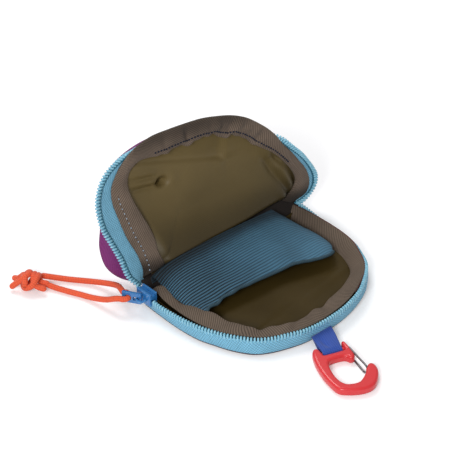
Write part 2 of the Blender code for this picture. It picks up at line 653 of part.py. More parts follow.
def make_lid_lining(dense, look, parent):
    """Lining of the lid: a domed sheet whose edge lies under the facing band."""
    rows = lid_stations(dense, LID_STATIONS)
    middle = numpy.array((0.0, RIM_DEPTH * LID_MIDDLE_SHARE))
    edge = rows[:, 9:12] + (rows[:, :3] - rows[:, 9:12]) * LINING_EDGE_SHARE
    edge[:, 2] += LINING_DEPTH
    edge = lid_ring(edge, HINGE_LINING_REACH, HINGE_LINING_HEIGHT)
    top = LID_EDGE_HEIGHT + LID_BULGE - SHELL_THICKNESS - 2 * GAP
    rings = []
    for share in LINING_DOME_SHARES:
        ring = edge.copy()
        ring[:, :2] = middle + (edge[:, :2] - middle) * share
        ring[:, 2] += (top - edge[:, 2]) * (1.0 - share ** LINING_FLATNESS_SHARE)
        rings.append(ring)
    down = numpy.array((0.0, 0.0, LINING_THICKNESS))
    outer = [[lid_point(point) for point in ring] for ring in rings[::-1]]
    inner = [[lid_point(point - down) for point in ring] for ring in rings]
    first = lid_point((0.0, middle[1], top))
    last = lid_point((0.0, middle[1], top - LINING_THICKNESS))
    return loft_dish("lid_lining", outer + inner, first, last, look, parent)


def make_gusset(name, place, look, parent=None):
    """Half of the cloth hinge: the strip from the outer cloth's lip to the fold."""
    top = GAP
    bottom = TOOTH_CLEARANCE + TOOTH_HEIGHT + BEAD_HEIGHT + TAPE_WIDTH + GAP
    half = RIM_WIDTH / 2 - HINGE_CORNER
    sections = []
    for step in range(HINGE_STATIONS + 1):
        x = half * (2.0 * step / HINGE_STATIONS - 1.0)
        out = leaned(x, GAP)
        inn = leaned(x, GAP + SHELL_THICKNESS)
        sections.append([place(*out, top), place(*out, bottom), place(*inn, bottom), place(*inn, top)])
    return loft_closed(name, sections, look, parent)


def pocket_floor():
    """Height above the ground of the lining's upper face plus the running gap."""
    return SHELL_THICKNESS + LINING_THICKNESS + 2 * GAP


def pocket_point(across, along):
    """Upper face of the pocket, across from -1 to 1 and along from 0 at the hinge to 1 at the hem."""
    reach = POCKET_BACK + (POCKET_DEPTH - POCKET_BACK) * along
    inset = TAPE_INSET + TAPE_THICKNESS + BAND_THICKNESS + GAP + POCKET_SIDE_GAP
    deep = RIM_DEPTH - inset - HINGE_CORNER
    far = max(0.0, reach - HINGE_CORNER) / deep
    half = (RIM_WIDTH / 2 - inset) * (1.0 - far ** ROUNDNESS_SHARE) ** (1.0 / ROUNDNESS_SHARE)
    corner = max(0.0, HINGE_CORNER - reach)
    half -= HINGE_CORNER - math.sqrt(HINGE_CORNER ** 2 - corner ** 2)
    crown = 1.0 - abs(across) ** ROUNDNESS_SHARE
    back = POCKET_BACK_LIFT * (1.0 - along) ** 2
    first, last = POCKET_SWELL_SHARES
    swell = POCKET_RISE * math.sqrt(math.sin(math.pi * (first + (last - first) * along)))
    height = pocket_floor() + POCKET_THICKNESS + crown * (back + swell)
    x, reach = leaned(half * across, reach)
    return Vector((x, HINGE_Y - reach, height))


def make_pocket(look):
    """Stretch mesh sheet over the back half of the base, open at its hem."""
    sections = []
    for row in range(POCKET_ROWS + 1):
        upper = []
        for column in range(POCKET_COLUMNS + 1):
            across = -math.cos(math.pi * column / POCKET_COLUMNS)
            upper.append(pocket_point(across, row / POCKET_ROWS))
        lower = [point - Vector((0.0, 0.0, POCKET_THICKNESS)) for point in reversed(upper)]
        sections.append(upper + lower)
    count = 2 * (POCKET_COLUMNS + 1)
    points = [point for section in sections for point in section]
    faces = []
    for row in range(POCKET_ROWS):
        for side in range(count):
            after = (side + 1) % count
            faces.append((row * count + side, row * count + after,
                          (row + 1) * count + after, (row + 1) * count + side))
    for row in (0, POCKET_ROWS):
        for column in range(POCKET_COLUMNS):
            start = row * count
            faces.append((start + column, start + column + 1,
                          start + count - 2 - column, start + count - 1 - column))
    return solid("mesh_pocket", points, faces, look)


def make_hem(look):
    """Round binding along the pocket's open edge."""
    radius = HEM_DIAMETER / 2
    sections = []
    for column in range(POCKET_COLUMNS + 1):
        across = -math.cos(math.pi * column / POCKET_COLUMNS)
        edge = pocket_point(across, 1.0)
        lift = max(0.0, pocket_floor() + radius - edge.z + POCKET_THICKNESS / 2)
        centre = edge + Vector((0.0, -radius - GAP, lift - POCKET_THICKNESS / 2))
        section = []
        for side in range(HEM_SIDES):
            turn = 2.0 * math.pi * (side + 0.5) / HEM_SIDES
            section.append(centre + Vector((0.0, math.cos(turn), math.sin(turn))) * radius)
        sections.append(section)
    return loft_closed("pocket_hem_binding", sections, look)


def make_box(name, centre, size, axes, look=None, parent=None):
    """Box with its middle at centre, its size along three given directions."""
    points = []
    for i in (-0.5, 0.5):
        for j in (-0.5, 0.5):
            for k in (-0.5, 0.5):
                points.append(centre + axes[0] * size[0] * i + axes[1] * size[1] * j + axes[2] * size[2] * k)
    faces = [(0, 1, 3, 2), (4, 6, 7, 5), (0, 4, 5, 1), (2, 3, 7, 6), (0, 2, 6, 4), (1, 5, 7, 3)]
    return solid(name, points, faces, look, parent)


def as_cutter(cutter):
    """Guide object that only shapes another."""
    cutter.hide_render = True
    cutter.display_type = "WIRE"
    return cutter


def join_shape(target, cutter, operation):
    """Boolean of one closed guide on a target."""
    step = target.modifiers.new(cutter.name, "BOOLEAN")
    step.operation = operation
    step.object = as_cutter(cutter)
    step.solver = "EXACT"


def bevel(target, width, segments=2):
    """Rounded edges where faces meet at more than a shallow angle."""
    step = target.modifiers.new("Rounded edges", "BEVEL")
    step.width = width
    step.segments = segments
    step.limit_method = "ANGLE"


def tube(name, points, diameter, look, parent=None, resolution=2):
    """Round cord along its points, with closed ends."""
    curve = bpy.data.curves.new(name, "CURVE")
    curve.dimensions = "3D"
    curve.bevel_depth = diameter / 2
    curve.bevel_resolution = resolution
    curve.use_fill_caps = True
    spline = curve.splines.new("POLY")
    spline.points.add(len(points) - 1)
    for slot, point in zip(spline.points, points):
        slot.co = (*point, 1.0)
    return add_object(name, curve, look, parent)


def smooth_route(points, spacing):
    """Points read from a smooth curve through the route's own points."""
    route = [Vector(point) for point in points]
    ends = [route[0] * 2 - route[1]] + route + [route[-1] * 2 - route[-2]]
    dense = []
    for row in range(1, len(ends) - 2):
        before, start, end, after = ends[row - 1:row + 3]
        for step in range(ROUTE_STEPS):
            t = step / ROUTE_STEPS
            dense.append(0.5 * (2 * start + (end - before) * t
                                + (2 * before - 5 * start + 4 * end - after) * t ** 2
                                + (3 * start - before - 3 * end + after) * t ** 3))
    dense.append(route[-1])
    dense = [tuple(point) for point in dense]
    count = max(3, round(path_length(dense) / spacing) + 1)
    return even_stations(dense, count)


def slider_frame():
    """Middle of the slider on the base's teeth and its three directions: along, outward and up."""
    along = Vector((-LEAN_SHARE, -1.0, 0.0)).normalized()
    out = Vector((along.y, -along.x, 0.0))
    reach = SLIDER_LENGTH / 2 - SLIDER_SETBACK
    x, reach = leaned(-RIM_WIDTH / 2 + TAPE_INSET + TAPE_THICKNESS / 2, reach)
    return Vector((x, HINGE_Y - reach, HINGE_Z)), along, out, Vector((0.0, 0.0, 1.0))


def channel_guide(name, low, high):
    """Guide for a channel along the slider, between two heights above the zip plane."""
    middle, along, out, up = slider_frame()
    size = (SLIDER_LENGTH + 2 * CUT_OVERRUN, BEAD_WIDTH + 2 * SLIDER_SIDE_GAP, high - low)
    return make_box(name, middle + up * (low + high) / 2, size, (along, out, up))


def make_slider(look, parent):
    """Slider body: two plates beside the teeth, joined above the base's row by the post."""
    middle, along, out, up = slider_frame()
    channel = BEAD_WIDTH + 2 * SLIDER_SIDE_GAP
    width = channel + 2 * SLIDER_PLATE
    body = make_box("slider_body", middle, (SLIDER_LENGTH, width, SLIDER_HEIGHT), (along, out, up),
                    look, parent)
    bevel(body, SLIDER_BEVEL)
    low = channel_guide("slider_lower_channel_guide", -SLIDER_HEIGHT / 2 - CUT_OVERRUN, GAP - TOOTH_CLEARANCE)
    join_shape(body, low, "DIFFERENCE")
    high = channel_guide("slider_upper_channel_guide", POST_HEIGHT, SLIDER_HEIGHT / 2 + CUT_OVERRUN)
    join_shape(body, high, "DIFFERENCE")
    return body


def bridge_point():
    """Point on the pivot of the puller, inside the bridge's eye."""
    middle, along, out, up = slider_frame()
    half = (BEAD_WIDTH + 2 * SLIDER_SIDE_GAP) / 2 + SLIDER_PLATE
    height = SLIDER_HEIGHT * (PULLER_HEIGHT_SHARE - 1.0) / 2
    back = along * BRIDGE_LENGTH * BRIDGE_OFFSET_SHARE
    return middle + out * (half + (BRIDGE_REACH + GAP) / 2) - back + up * height


def make_bridge(look, parent):
    """Arched bridge on the slider's outer plate that carries the puller."""
    middle, along, out, up = slider_frame()
    half = (BEAD_WIDTH + 2 * SLIDER_SIDE_GAP) / 2 + SLIDER_PLATE
    height = SLIDER_HEIGHT * (PULLER_HEIGHT_SHARE - 1.0) / 2
    foot = middle + out * (half + GAP) + up * height
    rise = BRIDGE_REACH + BRIDGE_WIRE / 2
    points = [foot + along * BRIDGE_LENGTH * a + out * rise * b for a, b in BRIDGE_SHARES]
    return tube("slider_bridge", points, BRIDGE_WIRE, look, parent, resolution=1)


def puller_frame():
    """The puller's pivot and its directions: along its length, across its flat and up."""
    turn = math.radians(PULLER_ANGLE)
    along = Vector((math.cos(turn), math.sin(turn), 0.0))
    return bridge_point(), along, Vector((along.y, -along.x, 0.0)), Vector((0.0, 0.0, 1.0))


def eye_point():
    """Middle of the puller's cord eye."""
    pivot, along, side, up = puller_frame()
    return pivot + along * (PULLER_LENGTH * PULLER_EYE_SHARE)


def round_bar(name, centre, direction, diameter, length):
    """Plain round bar about a centre."""
    axis = direction.normalized()
    first = axis.orthogonal().normalized()
    second = axis.cross(first)
    sections = []
    for end in (-0.5, 0.5):
        ring = []
        for side in range(BAR_SIDES):
            turn = 2.0 * math.pi * side / BAR_SIDES
            ring.append(centre + axis * length * end
                        + (first * math.cos(turn) + second * math.sin(turn)) * diameter / 2)
        sections.append(ring)
    return loft_closed(name, sections, None)


def make_puller(look, parent):
    """Flat tab whose end bar lies under the bridge, with a window for the bridge and the cord's eye."""
    pivot, along, side, up = puller_frame()
    start = -PULLER_PIN / 2
    length = PULLER_LENGTH - start
    centre = pivot + along * (start + length / 2)
    tab = make_box("puller", centre, (length, PULLER_THICKNESS, PULLER_WIDTH), (along, side, up), look, parent)
    bevel(tab, PULLER_THICKNESS / 4)
    eye = CORD_DIAMETER + 2 * PULLER_EYE_GAP
    hole = round_bar("puller_eye_guide", eye_point(), side, eye, PULLER_THICKNESS + 2 * CUT_OVERRUN)
    join_shape(tab, hole, "DIFFERENCE")
    window = make_box("puller_window_guide", pivot + along * (PULLER_PIN + PULLER_WINDOW) / 2,
                      (PULLER_WINDOW, PULLER_THICKNESS + 2 * CUT_OVERRUN, BRIDGE_WIRE + 2 * PIVOT_GAP),
                      (along, side, up))
    join_shape(tab, window, "DIFFERENCE")
    return tab


def bight_route():
    """Half turn of the cord through the puller's eye, from its upper side to its lower side."""
    pivot, along, side, up = puller_frame()
    middle = eye_point()
    inside = PULLER_THICKNESS / 2
    return [middle + along * BIGHT_REACH * a + side * (inside + BIGHT_REACH / 2) * b for a, b in BIGHT_SHARES]


def make_cords(look, parent):
    """The doubled pull cord: the bight in the eye and its two free strands up to the knot."""
    bight = bight_route()
    tube("pull_cord_bight", smooth_route(bight, CORD_POINT_SPACING / 2), CORD_DIAMETER, look, parent)
    pivot, along, side, up = puller_frame()
    step = along * (GAP + CORD_DIAMETER) * STRAND_START_SHARE
    for name, end, route in (("pull_cord_upper", bight[-1], CORD_UPPER_ROUTE),
                             ("pull_cord_lower", bight[0], CORD_LOWER_ROUTE)):
        start = end + along * GAP
        points = [start, start + step] + [Vector(point) for point in route]
        tube(name, smooth_route(points, CORD_POINT_SPACING), CORD_DIAMETER, look, parent)


def make_knot(look, parent):
    """Closed solid of the doubled overhand knot: a fat twisted loop with two short tails."""
    turn = math.radians(KNOT_HEADING)
    along = Vector((math.cos(turn), math.sin(turn), 0.0))
    side = Vector((-along.y, along.x, 0.0))
    up = Vector((0.0, 0.0, 1.0))
    middle = Vector(KNOT_PLACE)
    sections = []
    for place, size in KNOT_PROFILE_SHARES:
        ring = []
        for corner in range(KNOT_SIDES * 2):
            turn = math.pi * (corner + 0.5) / KNOT_SIDES
            wave = 1.0 - KNOT_LOBE_SHARE * math.cos(KNOT_LOBES * turn)
            ring.append(middle + along * KNOT_LENGTH * place
                        + side * KNOT_WIDTH / 2 * size * wave * math.cos(turn)
                        + up * KNOT_HEIGHT / 2 * size * wave * math.sin(turn))
        sections.append(ring)
    return loft_closed("pull_knot", sections, look, parent)


def webbing_frame():
    """Middle of the carabiner's bar, the webbing's direction away from the pouch and its width."""
    turn = math.radians(WEBBING_HEADING)
    away = Vector((math.cos(turn), math.sin(turn), 0.0))
    across = Vector((-away.y, away.x, 0.0))
    seam = Vector((WEBBING_PLACE, HINGE_Y - RIM_DEPTH - GAP, BAR_HEIGHT))
    return seam + away * WEBBING_LENGTH, away, across


def make_webbing(look, parent):
    """Flat strap that leaves the front seam, goes round the carabiner's bar and comes back."""
    bar, away, across = webbing_frame()
    radius = BAR_DIAMETER / 2 + BAR_GAP + WEBBING_THICKNESS / 2
    ply = (WEBBING_THICKNESS + WEBBING_PLY_GAP) / 2
    seam_middle = SEAM_HEIGHT - WEBBING_THICKNESS - WEBBING_PLY_GAP / 2 - BAR_HEIGHT
    turns = [math.pi * step / FINE_STEPS for step in range(FINE_STEPS + 1)]
    half_turn = [(-radius * math.sin(turn), -radius * math.cos(turn)) for turn in turns]
    lines = {}
    for end in (-0.5, 0.5):
        w = WEBBING_WIDTH * end
        seam_y = HINGE_Y - RIM_DEPTH - GAP
        back = (seam_y - bar.y - across.y * w) / -away.y
        lower = []
        for share in WEBBING_STRAIGHT_SHARES:
            ease = share * share * (3.0 - 2.0 * share)
            lower.append((back * share, -radius + (seam_middle - ply + radius) * ease))
        upper = []
        for share in reversed(WEBBING_STRAIGHT_SHARES):
            ease = share * share * (3.0 - 2.0 * share)
            upper.append((back * share, radius + (seam_middle + ply - radius) * ease))
        lines[end] = lower + half_turn + upper
    sections = []
    count = len(lines[0.5])
    for row in range(count):
        section = []
        for end, sign in ((-0.5, -1.0), (-0.5, 1.0), (0.5, 1.0), (0.5, -1.0)):
            line = lines[end]
            before = Vector(line[max(0, row - 1)])
            after = Vector(line[min(count - 1, row + 1)])
            step = (after - before).normalized()
            if row in (0, count - 1):
                step = Vector((-1.0, 0.0)) if row == 0 else Vector((1.0, 0.0))
            q, z = Vector(line[row]) + Vector((-step.y, step.x)) * WEBBING_THICKNESS / 2 * sign
            section.append(bar - away * q + across * WEBBING_WIDTH * end + Vector((0.0, 0.0, z)))
        sections.append(section)
    return loft_closed("webbing_loop", sections, look, parent)


def corner_cut(points, passes):
    """Outline with its corners cut again and again until they are round."""
    for _ in range(passes):
        made = []
        for here, there in zip(points, points[1:] + points[:1]):
            here, there = Vector(here), Vector(there)
            made += [tuple(here.lerp(there, CORNER_CUT_SHARE)), tuple(there.lerp(here, CORNER_CUT_SHARE))]
        points = made
    return points


def carabiner_point(across_share, along_share, height):
    """World point of the carabiner from shares of its width and length."""
    bar, away, across = webbing_frame()
    place = bar + across * CARABINER_WIDTH * across_share + away * CARABINER_LENGTH * along_share
    return Vector((place.x, place.y, GROUND_GAP + height))


def make_carabiner(look, parent):
    """Plastic hook: one flat frame with a round bar for the webbing and a wide crossbar."""
    bar, away, across = webbing_frame()
    up = Vector((0.0, 0.0, 1.0))
    outline = corner_cut(list(CARABINER_OUTLINE_SHARES), 1)
    sections = [[carabiner_point(a, b, height) for a, b in outline] for height in (0.0, CARABINER_THICKNESS)]
    frame = loft_closed("carabiner_frame", sections, look, parent)
    bevel(frame, CARABINER_BEVEL)
    slot_width = WEBBING_WIDTH + 2 * SLOT_SIDE_GAP
    slot_start = CARABINER_LENGTH * SLOT_START_SHARE
    slot_end = CARABINER_LENGTH * CROSSBAR_SHARE
    slot = make_box("carabiner_slot_guide", carabiner_point(0.0, 0.0, CARABINER_THICKNESS / 2)
                    + away * (slot_start + slot_end) / 2,
                    (slot_end - slot_start, slot_width, CARABINER_THICKNESS + 2 * CUT_OVERRUN),
                    (away, across, up))
    join_shape(frame, slot, "DIFFERENCE")
    overlap = SHELL_THICKNESS
    pin = round_bar("carabiner_bar_guide", bar, across, BAR_DIAMETER, slot_width + 2 * overlap)
    join_shape(frame, pin, "UNION")
    wire_room = GATE_WIRE + GATE_RECESS_GAP
    left, right = RECESS_ACROSS_SHARES
    start, end = RECESS_ALONG_SHARES
    for name, height in (("gate_recess_upper_guide", CARABINER_THICKNESS - wire_room / 2 + CUT_OVERRUN / 2),
                         ("gate_recess_lower_guide", wire_room / 2 - CUT_OVERRUN / 2)):
        middle = carabiner_point((left + right) / 2, (start + end) / 2, height)
        size = (CARABINER_LENGTH * (end - start), CARABINER_WIDTH * (right - left), wire_room + CUT_OVERRUN)
        recess = make_box(name, middle, size, (away, across, up))
        join_shape(frame, recess, "DIFFERENCE")
    return frame


def make_gate(look, parent):
    """Wire gate: a leg on each face of the frame, joined across at the hook's nose."""
    radius = GATE_WIRE / 2
    a, b = GATE_PIVOT_SHARES
    nose_a, nose_b = GATE_NOSE_SHARES
    span = CARABINER_THICKNESS - GATE_WIRE
    points = [carabiner_point(a + (nose_a - a) * reach, b + (nose_b - b) * reach, radius + span * height)
              for reach, height in GATE_LEG_SHARES]
    return tube("carabiner_gate", points, GATE_WIRE, look, parent, resolution=1)


def make_end_stop(look):
    """Stop that closes the zip's right end on the base's tape."""
    along = Vector((-LEAN_SHARE, -1.0, 0.0)).normalized()
    out = Vector((-along.y, along.x, 0.0))
    length = CHAIN_START_RIGHT - 2 * GAP
    x, reach = leaned(RIM_WIDTH / 2 - TAPE_INSET - TAPE_THICKNESS / 2, GAP + length / 2)
    height = TOOTH_HEIGHT + BEAD_HEIGHT
    middle = on_base(x, reach, TOOTH_CLEARANCE + height / 2)
    return make_box("zip_end_stop", middle, (length, BEAD_WIDTH, height), (along, out, Vector((0, 0, 1))), look)


def main():
    for old in list(bpy.data.objects):
        bpy.data.objects.remove(old)
    shell_look = material("Purple outer cloth", (0.20, 0.04, 0.17), 0.75)
    base_shell_look = material("Dark outer cloth", (0.05, 0.03, 0.04), 0.8)
    lining_look = material("Olive lining", (0.09, 0.07, 0.025), 0.6)
    band_look = material("Brown facing band", (0.10, 0.075, 0.055), 0.85)
    tape_look = material("Light blue tape", (0.25, 0.50, 0.62), 0.7)
    teeth_look = material("Blue teeth", (0.05, 0.28, 0.42), 0.35)
    mesh_look = material("Teal stretch mesh", (0.03, 0.08, 0.12), 0.7)
    slider_look = material("Blue slider", (0.01, 0.13, 0.42), 0.25)
    cord_look = material("Orange cord", (0.80, 0.12, 0.03), 0.6)
    webbing_look = material("Blue webbing", (0.03, 0.09, 0.45), 0.6)
    red_look = material("Red plastic", (0.75, 0.04, 0.05), 0.3)
    steel_look = material("Steel wire", (0.30, 0.30, 0.32), 0.3, 1.0)

    make_base_shell(base_shell_look)
    make_base_lining(lining_look)
    make_base_band(band_look)
    make_base_tape(tape_look)
    make_base_teeth(teeth_look)
    make_gusset("hinge_gusset_base", on_base, band_look)
    make_pocket(mesh_look)
    make_hem(mesh_look)
    make_end_stop(teeth_look)

    lid_axis = add_axis("lid_fold_axis", (0.0, HINGE_Y, HINGE_Z))
    lid = lid_rows()
    make_lid_shell(lid, shell_look, lid_axis)
    make_lid_lining(lid, lining_look, lid_axis)
    make_lid_band(lid, band_look, lid_axis)
    make_lid_tape(lid, tape_look, lid_axis)
    make_lid_teeth(lid, teeth_look, lid_axis)
    make_gusset("hinge_gusset_lid", on_lid, band_look, lid_axis)

    slider_axis = add_axis("slider_run_axis", slider_frame()[0])
    make_slider(slider_look, slider_axis)
    make_bridge(slider_look, slider_axis)
    puller_axis = add_axis("puller_flip_axis", bridge_point(), slider_axis)
    make_puller(slider_look, puller_axis)
    cord_axis = add_axis("cord_lift_axis", eye_point(), puller_axis)
    make_cords(cord_look, cord_axis)
    make_knot(cord_look, cord_axis)

    seam_place = (WEBBING_PLACE, HINGE_Y - RIM_DEPTH - GAP, SEAM_HEIGHT)
    webbing_axis = add_axis("webbing_flap_axis", seam_place)
    make_webbing(webbing_look, webbing_axis)
    carabiner_axis = add_axis("carabiner_swing_axis", webbing_frame()[0], webbing_axis)
    make_carabiner(red_look, carabiner_axis)
    gate_place = carabiner_point(*GATE_PIVOT_SHARES, CARABINER_THICKNESS / 2)
    gate_axis = add_axis("gate_open_axis", gate_place, carabiner_axis)
    make_gate(steel_look, gate_axis)


main()
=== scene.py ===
"""Looks of the small zipped clamshell pouch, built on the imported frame.

The pouch lies open: its base half flat, its lid half folded up and back about a cloth hinge. Lengths
are in metres, but tables of points and the shapes of the lid and the pocket are in millimetres, and
mm turns them into metres.
"""
import math

import bpy
import numpy as np
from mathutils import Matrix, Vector
from mathutils.geometry import delaunay_2d_cdt


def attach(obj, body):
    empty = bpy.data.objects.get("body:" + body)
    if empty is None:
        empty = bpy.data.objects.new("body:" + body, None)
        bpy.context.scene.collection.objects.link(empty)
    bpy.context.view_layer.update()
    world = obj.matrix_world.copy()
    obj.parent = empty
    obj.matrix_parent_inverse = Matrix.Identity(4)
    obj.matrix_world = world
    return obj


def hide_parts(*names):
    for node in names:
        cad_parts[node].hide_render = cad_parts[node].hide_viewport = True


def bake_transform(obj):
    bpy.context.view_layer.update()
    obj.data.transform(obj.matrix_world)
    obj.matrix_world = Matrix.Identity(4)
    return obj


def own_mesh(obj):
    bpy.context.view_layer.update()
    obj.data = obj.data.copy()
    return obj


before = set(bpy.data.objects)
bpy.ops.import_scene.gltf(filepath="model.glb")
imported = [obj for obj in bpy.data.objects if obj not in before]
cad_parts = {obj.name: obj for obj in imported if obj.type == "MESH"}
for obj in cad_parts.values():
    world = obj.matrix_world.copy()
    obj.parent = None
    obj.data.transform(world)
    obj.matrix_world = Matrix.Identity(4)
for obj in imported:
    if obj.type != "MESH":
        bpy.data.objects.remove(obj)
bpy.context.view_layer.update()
mm = 0.001

# Camera
# The pouch is seen from 42 degrees round to the front left and 37 degrees up, 0.9 m away, through a
# long lens, so that its far side is only a little smaller than its near side.
azimuth, elevation, camera_distance = math.radians(-42.0), math.radians(37.0), 0.9
aim = Vector((0.0189, 0.0562, 0.0))
looking = Vector((-math.sin(azimuth) * math.cos(elevation), math.cos(azimuth) * math.cos(elevation),
                  -math.sin(elevation)))
camera_data = bpy.data.cameras.new("camera")
camera_data.lens = 132.66
camera_data.sensor_width = 36.0
camera = bpy.data.objects.new("camera", camera_data)
camera.location = aim - looking * camera_distance
camera.rotation_euler = looking.to_track_quat("-Z", "Y").to_euler()
bpy.context.collection.objects.link(camera)
bpy.context.scene.camera = camera

# Pull cord
# One limp 3 mm braided cord, doubled through the puller's eye. Its two strands lie side by side down to
# the table and meet in one overhand knot with two short tails, so the knot is its far end.
cord_diameter = 0.003
bight_points = ((-67.64, 41.69, 9.1), (-66.84, 40.4, 9.1), (-65.34, 39.5, 9.1), (-64.18, 39.6, 9.1),
                (-62.52, 40.64, 9.1), (-61.93, 41.64, 9.1), (-62.09, 43.37, 9.1), (-62.89, 44.66, 9.1))
upper_points = ((-63.05, 44.92, 9.1), (-62.3, 47.2, 9.0), (-60.6, 52.6, 7.2), (-61.2, 60.2, 4.4),
                (-64.6, 68.6, 2.4), (-71.2, 77.6, 1.9), (-76.2, 83.8, 2.2), (-80.8, 87.8, 3.4))
lower_points = ((-67.8, 41.95, 9.1), (-68.9, 43.7, 8.6), (-70.6, 49.6, 5.4), (-72.4, 57.2, 2.8),
                (-74.8, 64.6, 1.8), (-78.5, 72.2, 1.8), (-81.5, 78.8, 2.0), (-83.8, 83.6, 3.0))


def unit(vectors):
    """Each vector divided by its own length."""
    return vectors / np.maximum(np.linalg.norm(vectors, axis=-1, keepdims=True), 1e-12)


def arc_length(line):
    """Distance run along a row of points."""
    return np.concatenate([[0.0], np.cumsum(np.linalg.norm(np.diff(line, axis=0), axis=1))])


def points_at(places, run, line):
    """Points of a line at given places, where run gives the place of each of its own points."""
    return np.stack([np.interp(places, run, line[:, k]) for k in range(line.shape[1])], axis=-1)


def cubic(a, b, c, d, t):
    """Smooth way from b to c by a share t: the cubic whose slope at each of them is half the chord
    between its neighbours."""
    return 0.5 * (2 * b + (c - a) * t + (2 * a - 5 * b + 4 * c - d) * t ** 2
                  + (3 * b - a - 3 * c + d) * t ** 3)


def smooth_line(points, count):
    """Points spread evenly along the smooth curve through the given points."""
    p = np.asarray(points, dtype=float)
    ends = np.vstack([2 * p[0] - p[1], p, 2 * p[-1] - p[-2]])
    t = np.linspace(0.0, 1.0, 17)[:-1][None, :, None]
    dense = cubic(ends[:-3, None], ends[1:-2, None], ends[2:-1, None], ends[3:, None], t)
    dense = np.vstack([dense.reshape(-1, p.shape[1]), p[-1:]])
    run = arc_length(dense)
    return points_at(np.linspace(0.0, run[-1], count), run, dense)


def grid_quads(rows, columns, wrap=False):
    """Corner indices of the quads between rows of points, in the order that faces away from the cross
    product of the row direction and the column direction, and each corner's row and column."""
    r = np.arange(rows - 1)[:, None]
    c = np.arange(columns if wrap else columns - 1)[None, :]
    r, c = np.broadcast_arrays(r, c)
    corner_rows = np.stack([r, r, r + 1, r + 1], -1).reshape(-1, 4)
    corner_columns = np.stack([c, c + 1, c + 1, c], -1).reshape(-1, 4)
    return corner_rows * columns + corner_columns % columns, corner_rows, corner_columns


def tube_mesh(line, radius, sides):
    """Round tube: at each point of the line a ring of radius times the cosine along one side direction
    and the sine along the other, with a rounded cap of three shrinking rings at each end."""
    along = unit(np.gradient(line, axis=0))
    upright = np.array((0.0, 0.0, 1.0))
    side = unit(upright - along * np.sum(along * upright, axis=1, keepdims=True))
    over = np.cross(along, side)
    cap = np.radians([78.0, 52.0, 26.0])
    radii = np.concatenate([radius * np.cos(cap), np.full(len(line), radius), radius * np.cos(cap[::-1])])
    line = np.vstack([line[0] - along[0] * (radius * np.sin(cap))[:, None], line,
                      line[-1] + along[-1] * (radius * np.sin(cap[::-1]))[:, None]])
    side, over = (np.pad(way, ((3, 3), (0, 0)), mode="edge") for way in (side, over))
    turn = 2 * math.pi * np.arange(sides) / sides
    ring = side[:, None] * np.cos(turn)[None, :, None] + over[:, None] * np.sin(turn)[None, :, None]
    points = (line[:, None] + radii[:, None, None] * ring).reshape(-1, 3)
    quads, corner_rows, corner_columns = grid_quads(len(line), sides, wrap=True)
    uv = np.stack([arc_length(line)[corner_rows], corner_columns / sides], -1)
    faces = [tuple(quad) for quad in quads]
    faces += [tuple(range(sides))[::-1], tuple(range(len(points) - sides, len(points)))]
    return points, faces, np.vstack([uv.reshape(-1, 2), np.zeros((2 * sides, 2))])


def joined(parts):
    """One set of points, faces and corner UVs from several."""
    points, faces, uvs, start = [], [], [], 0
    for part_points, part_faces, part_uv in parts:
        points.append(part_points)
        faces += [tuple(index + start for index in face) for face in part_faces]
        uvs.append(part_uv)
        start += len(part_points)
    return np.vstack(points), faces, np.vstack(uvs)


def mesh_piece(name, shape, material, body):
    """A mesh object from a shape: its points, its faces and one UV pair for each corner of each face."""
    points, faces, corner_uv = shape
    mesh = bpy.data.meshes.new(name)
    mesh.from_pydata(np.asarray(points).tolist(), [], [list(map(int, face)) for face in faces])
    layer = mesh.uv_layers.new(name="cloth_uv")
    layer.data.foreach_set("uv", np.asarray(corner_uv, dtype=np.float32).ravel())
    mesh.polygons.foreach_set("use_smooth", [True] * len(mesh.polygons))
    mesh.materials.append(material)
    piece = bpy.data.objects.new(name, mesh)
    bpy.context.collection.objects.link(piece)
    if body:
        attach(piece, body)
    return piece


def calc(tree, kind, a, b=0.0, c=None, clamp=False):
    """A Math node on two or three values or sockets."""
    node = tree.nodes.new("ShaderNodeMath")
    node.operation, node.use_clamp = kind, clamp
    for socket, value in zip(node.inputs, (a, b) if c is None else (a, b, c)):
        if isinstance(value, (int, float)):
            socket.default_value = value
        else:
            tree.links.new(value, socket)
    return node.outputs[0]


def scaled(tree, colour, share):
    """A colour times a share."""
    node = tree.nodes.new("ShaderNodeVectorMath")
    node.operation = "SCALE"
    tree.links.new(colour, node.inputs[0])
    tree.links.new(share, node.inputs["Scale"])
    return node.outputs[0]


def new_group(name, inputs, output):
    """An empty node group with its inputs and its one output, the node that gives the inputs and the
    node that takes the output."""
    group = bpy.data.node_groups.new(name, "ShaderNodeTree")
    for socket_name, kind, value in inputs:
        socket = group.interface.new_socket(socket_name, in_out="INPUT", socket_type="NodeSocket" + kind)
        if value is not None:
            socket.default_value = value
    group.interface.new_socket(output[0], in_out="OUTPUT", socket_type="NodeSocket" + output[1])
    return group, group.nodes.new("NodeGroupInput"), group.nodes.new("NodeGroupOutput")


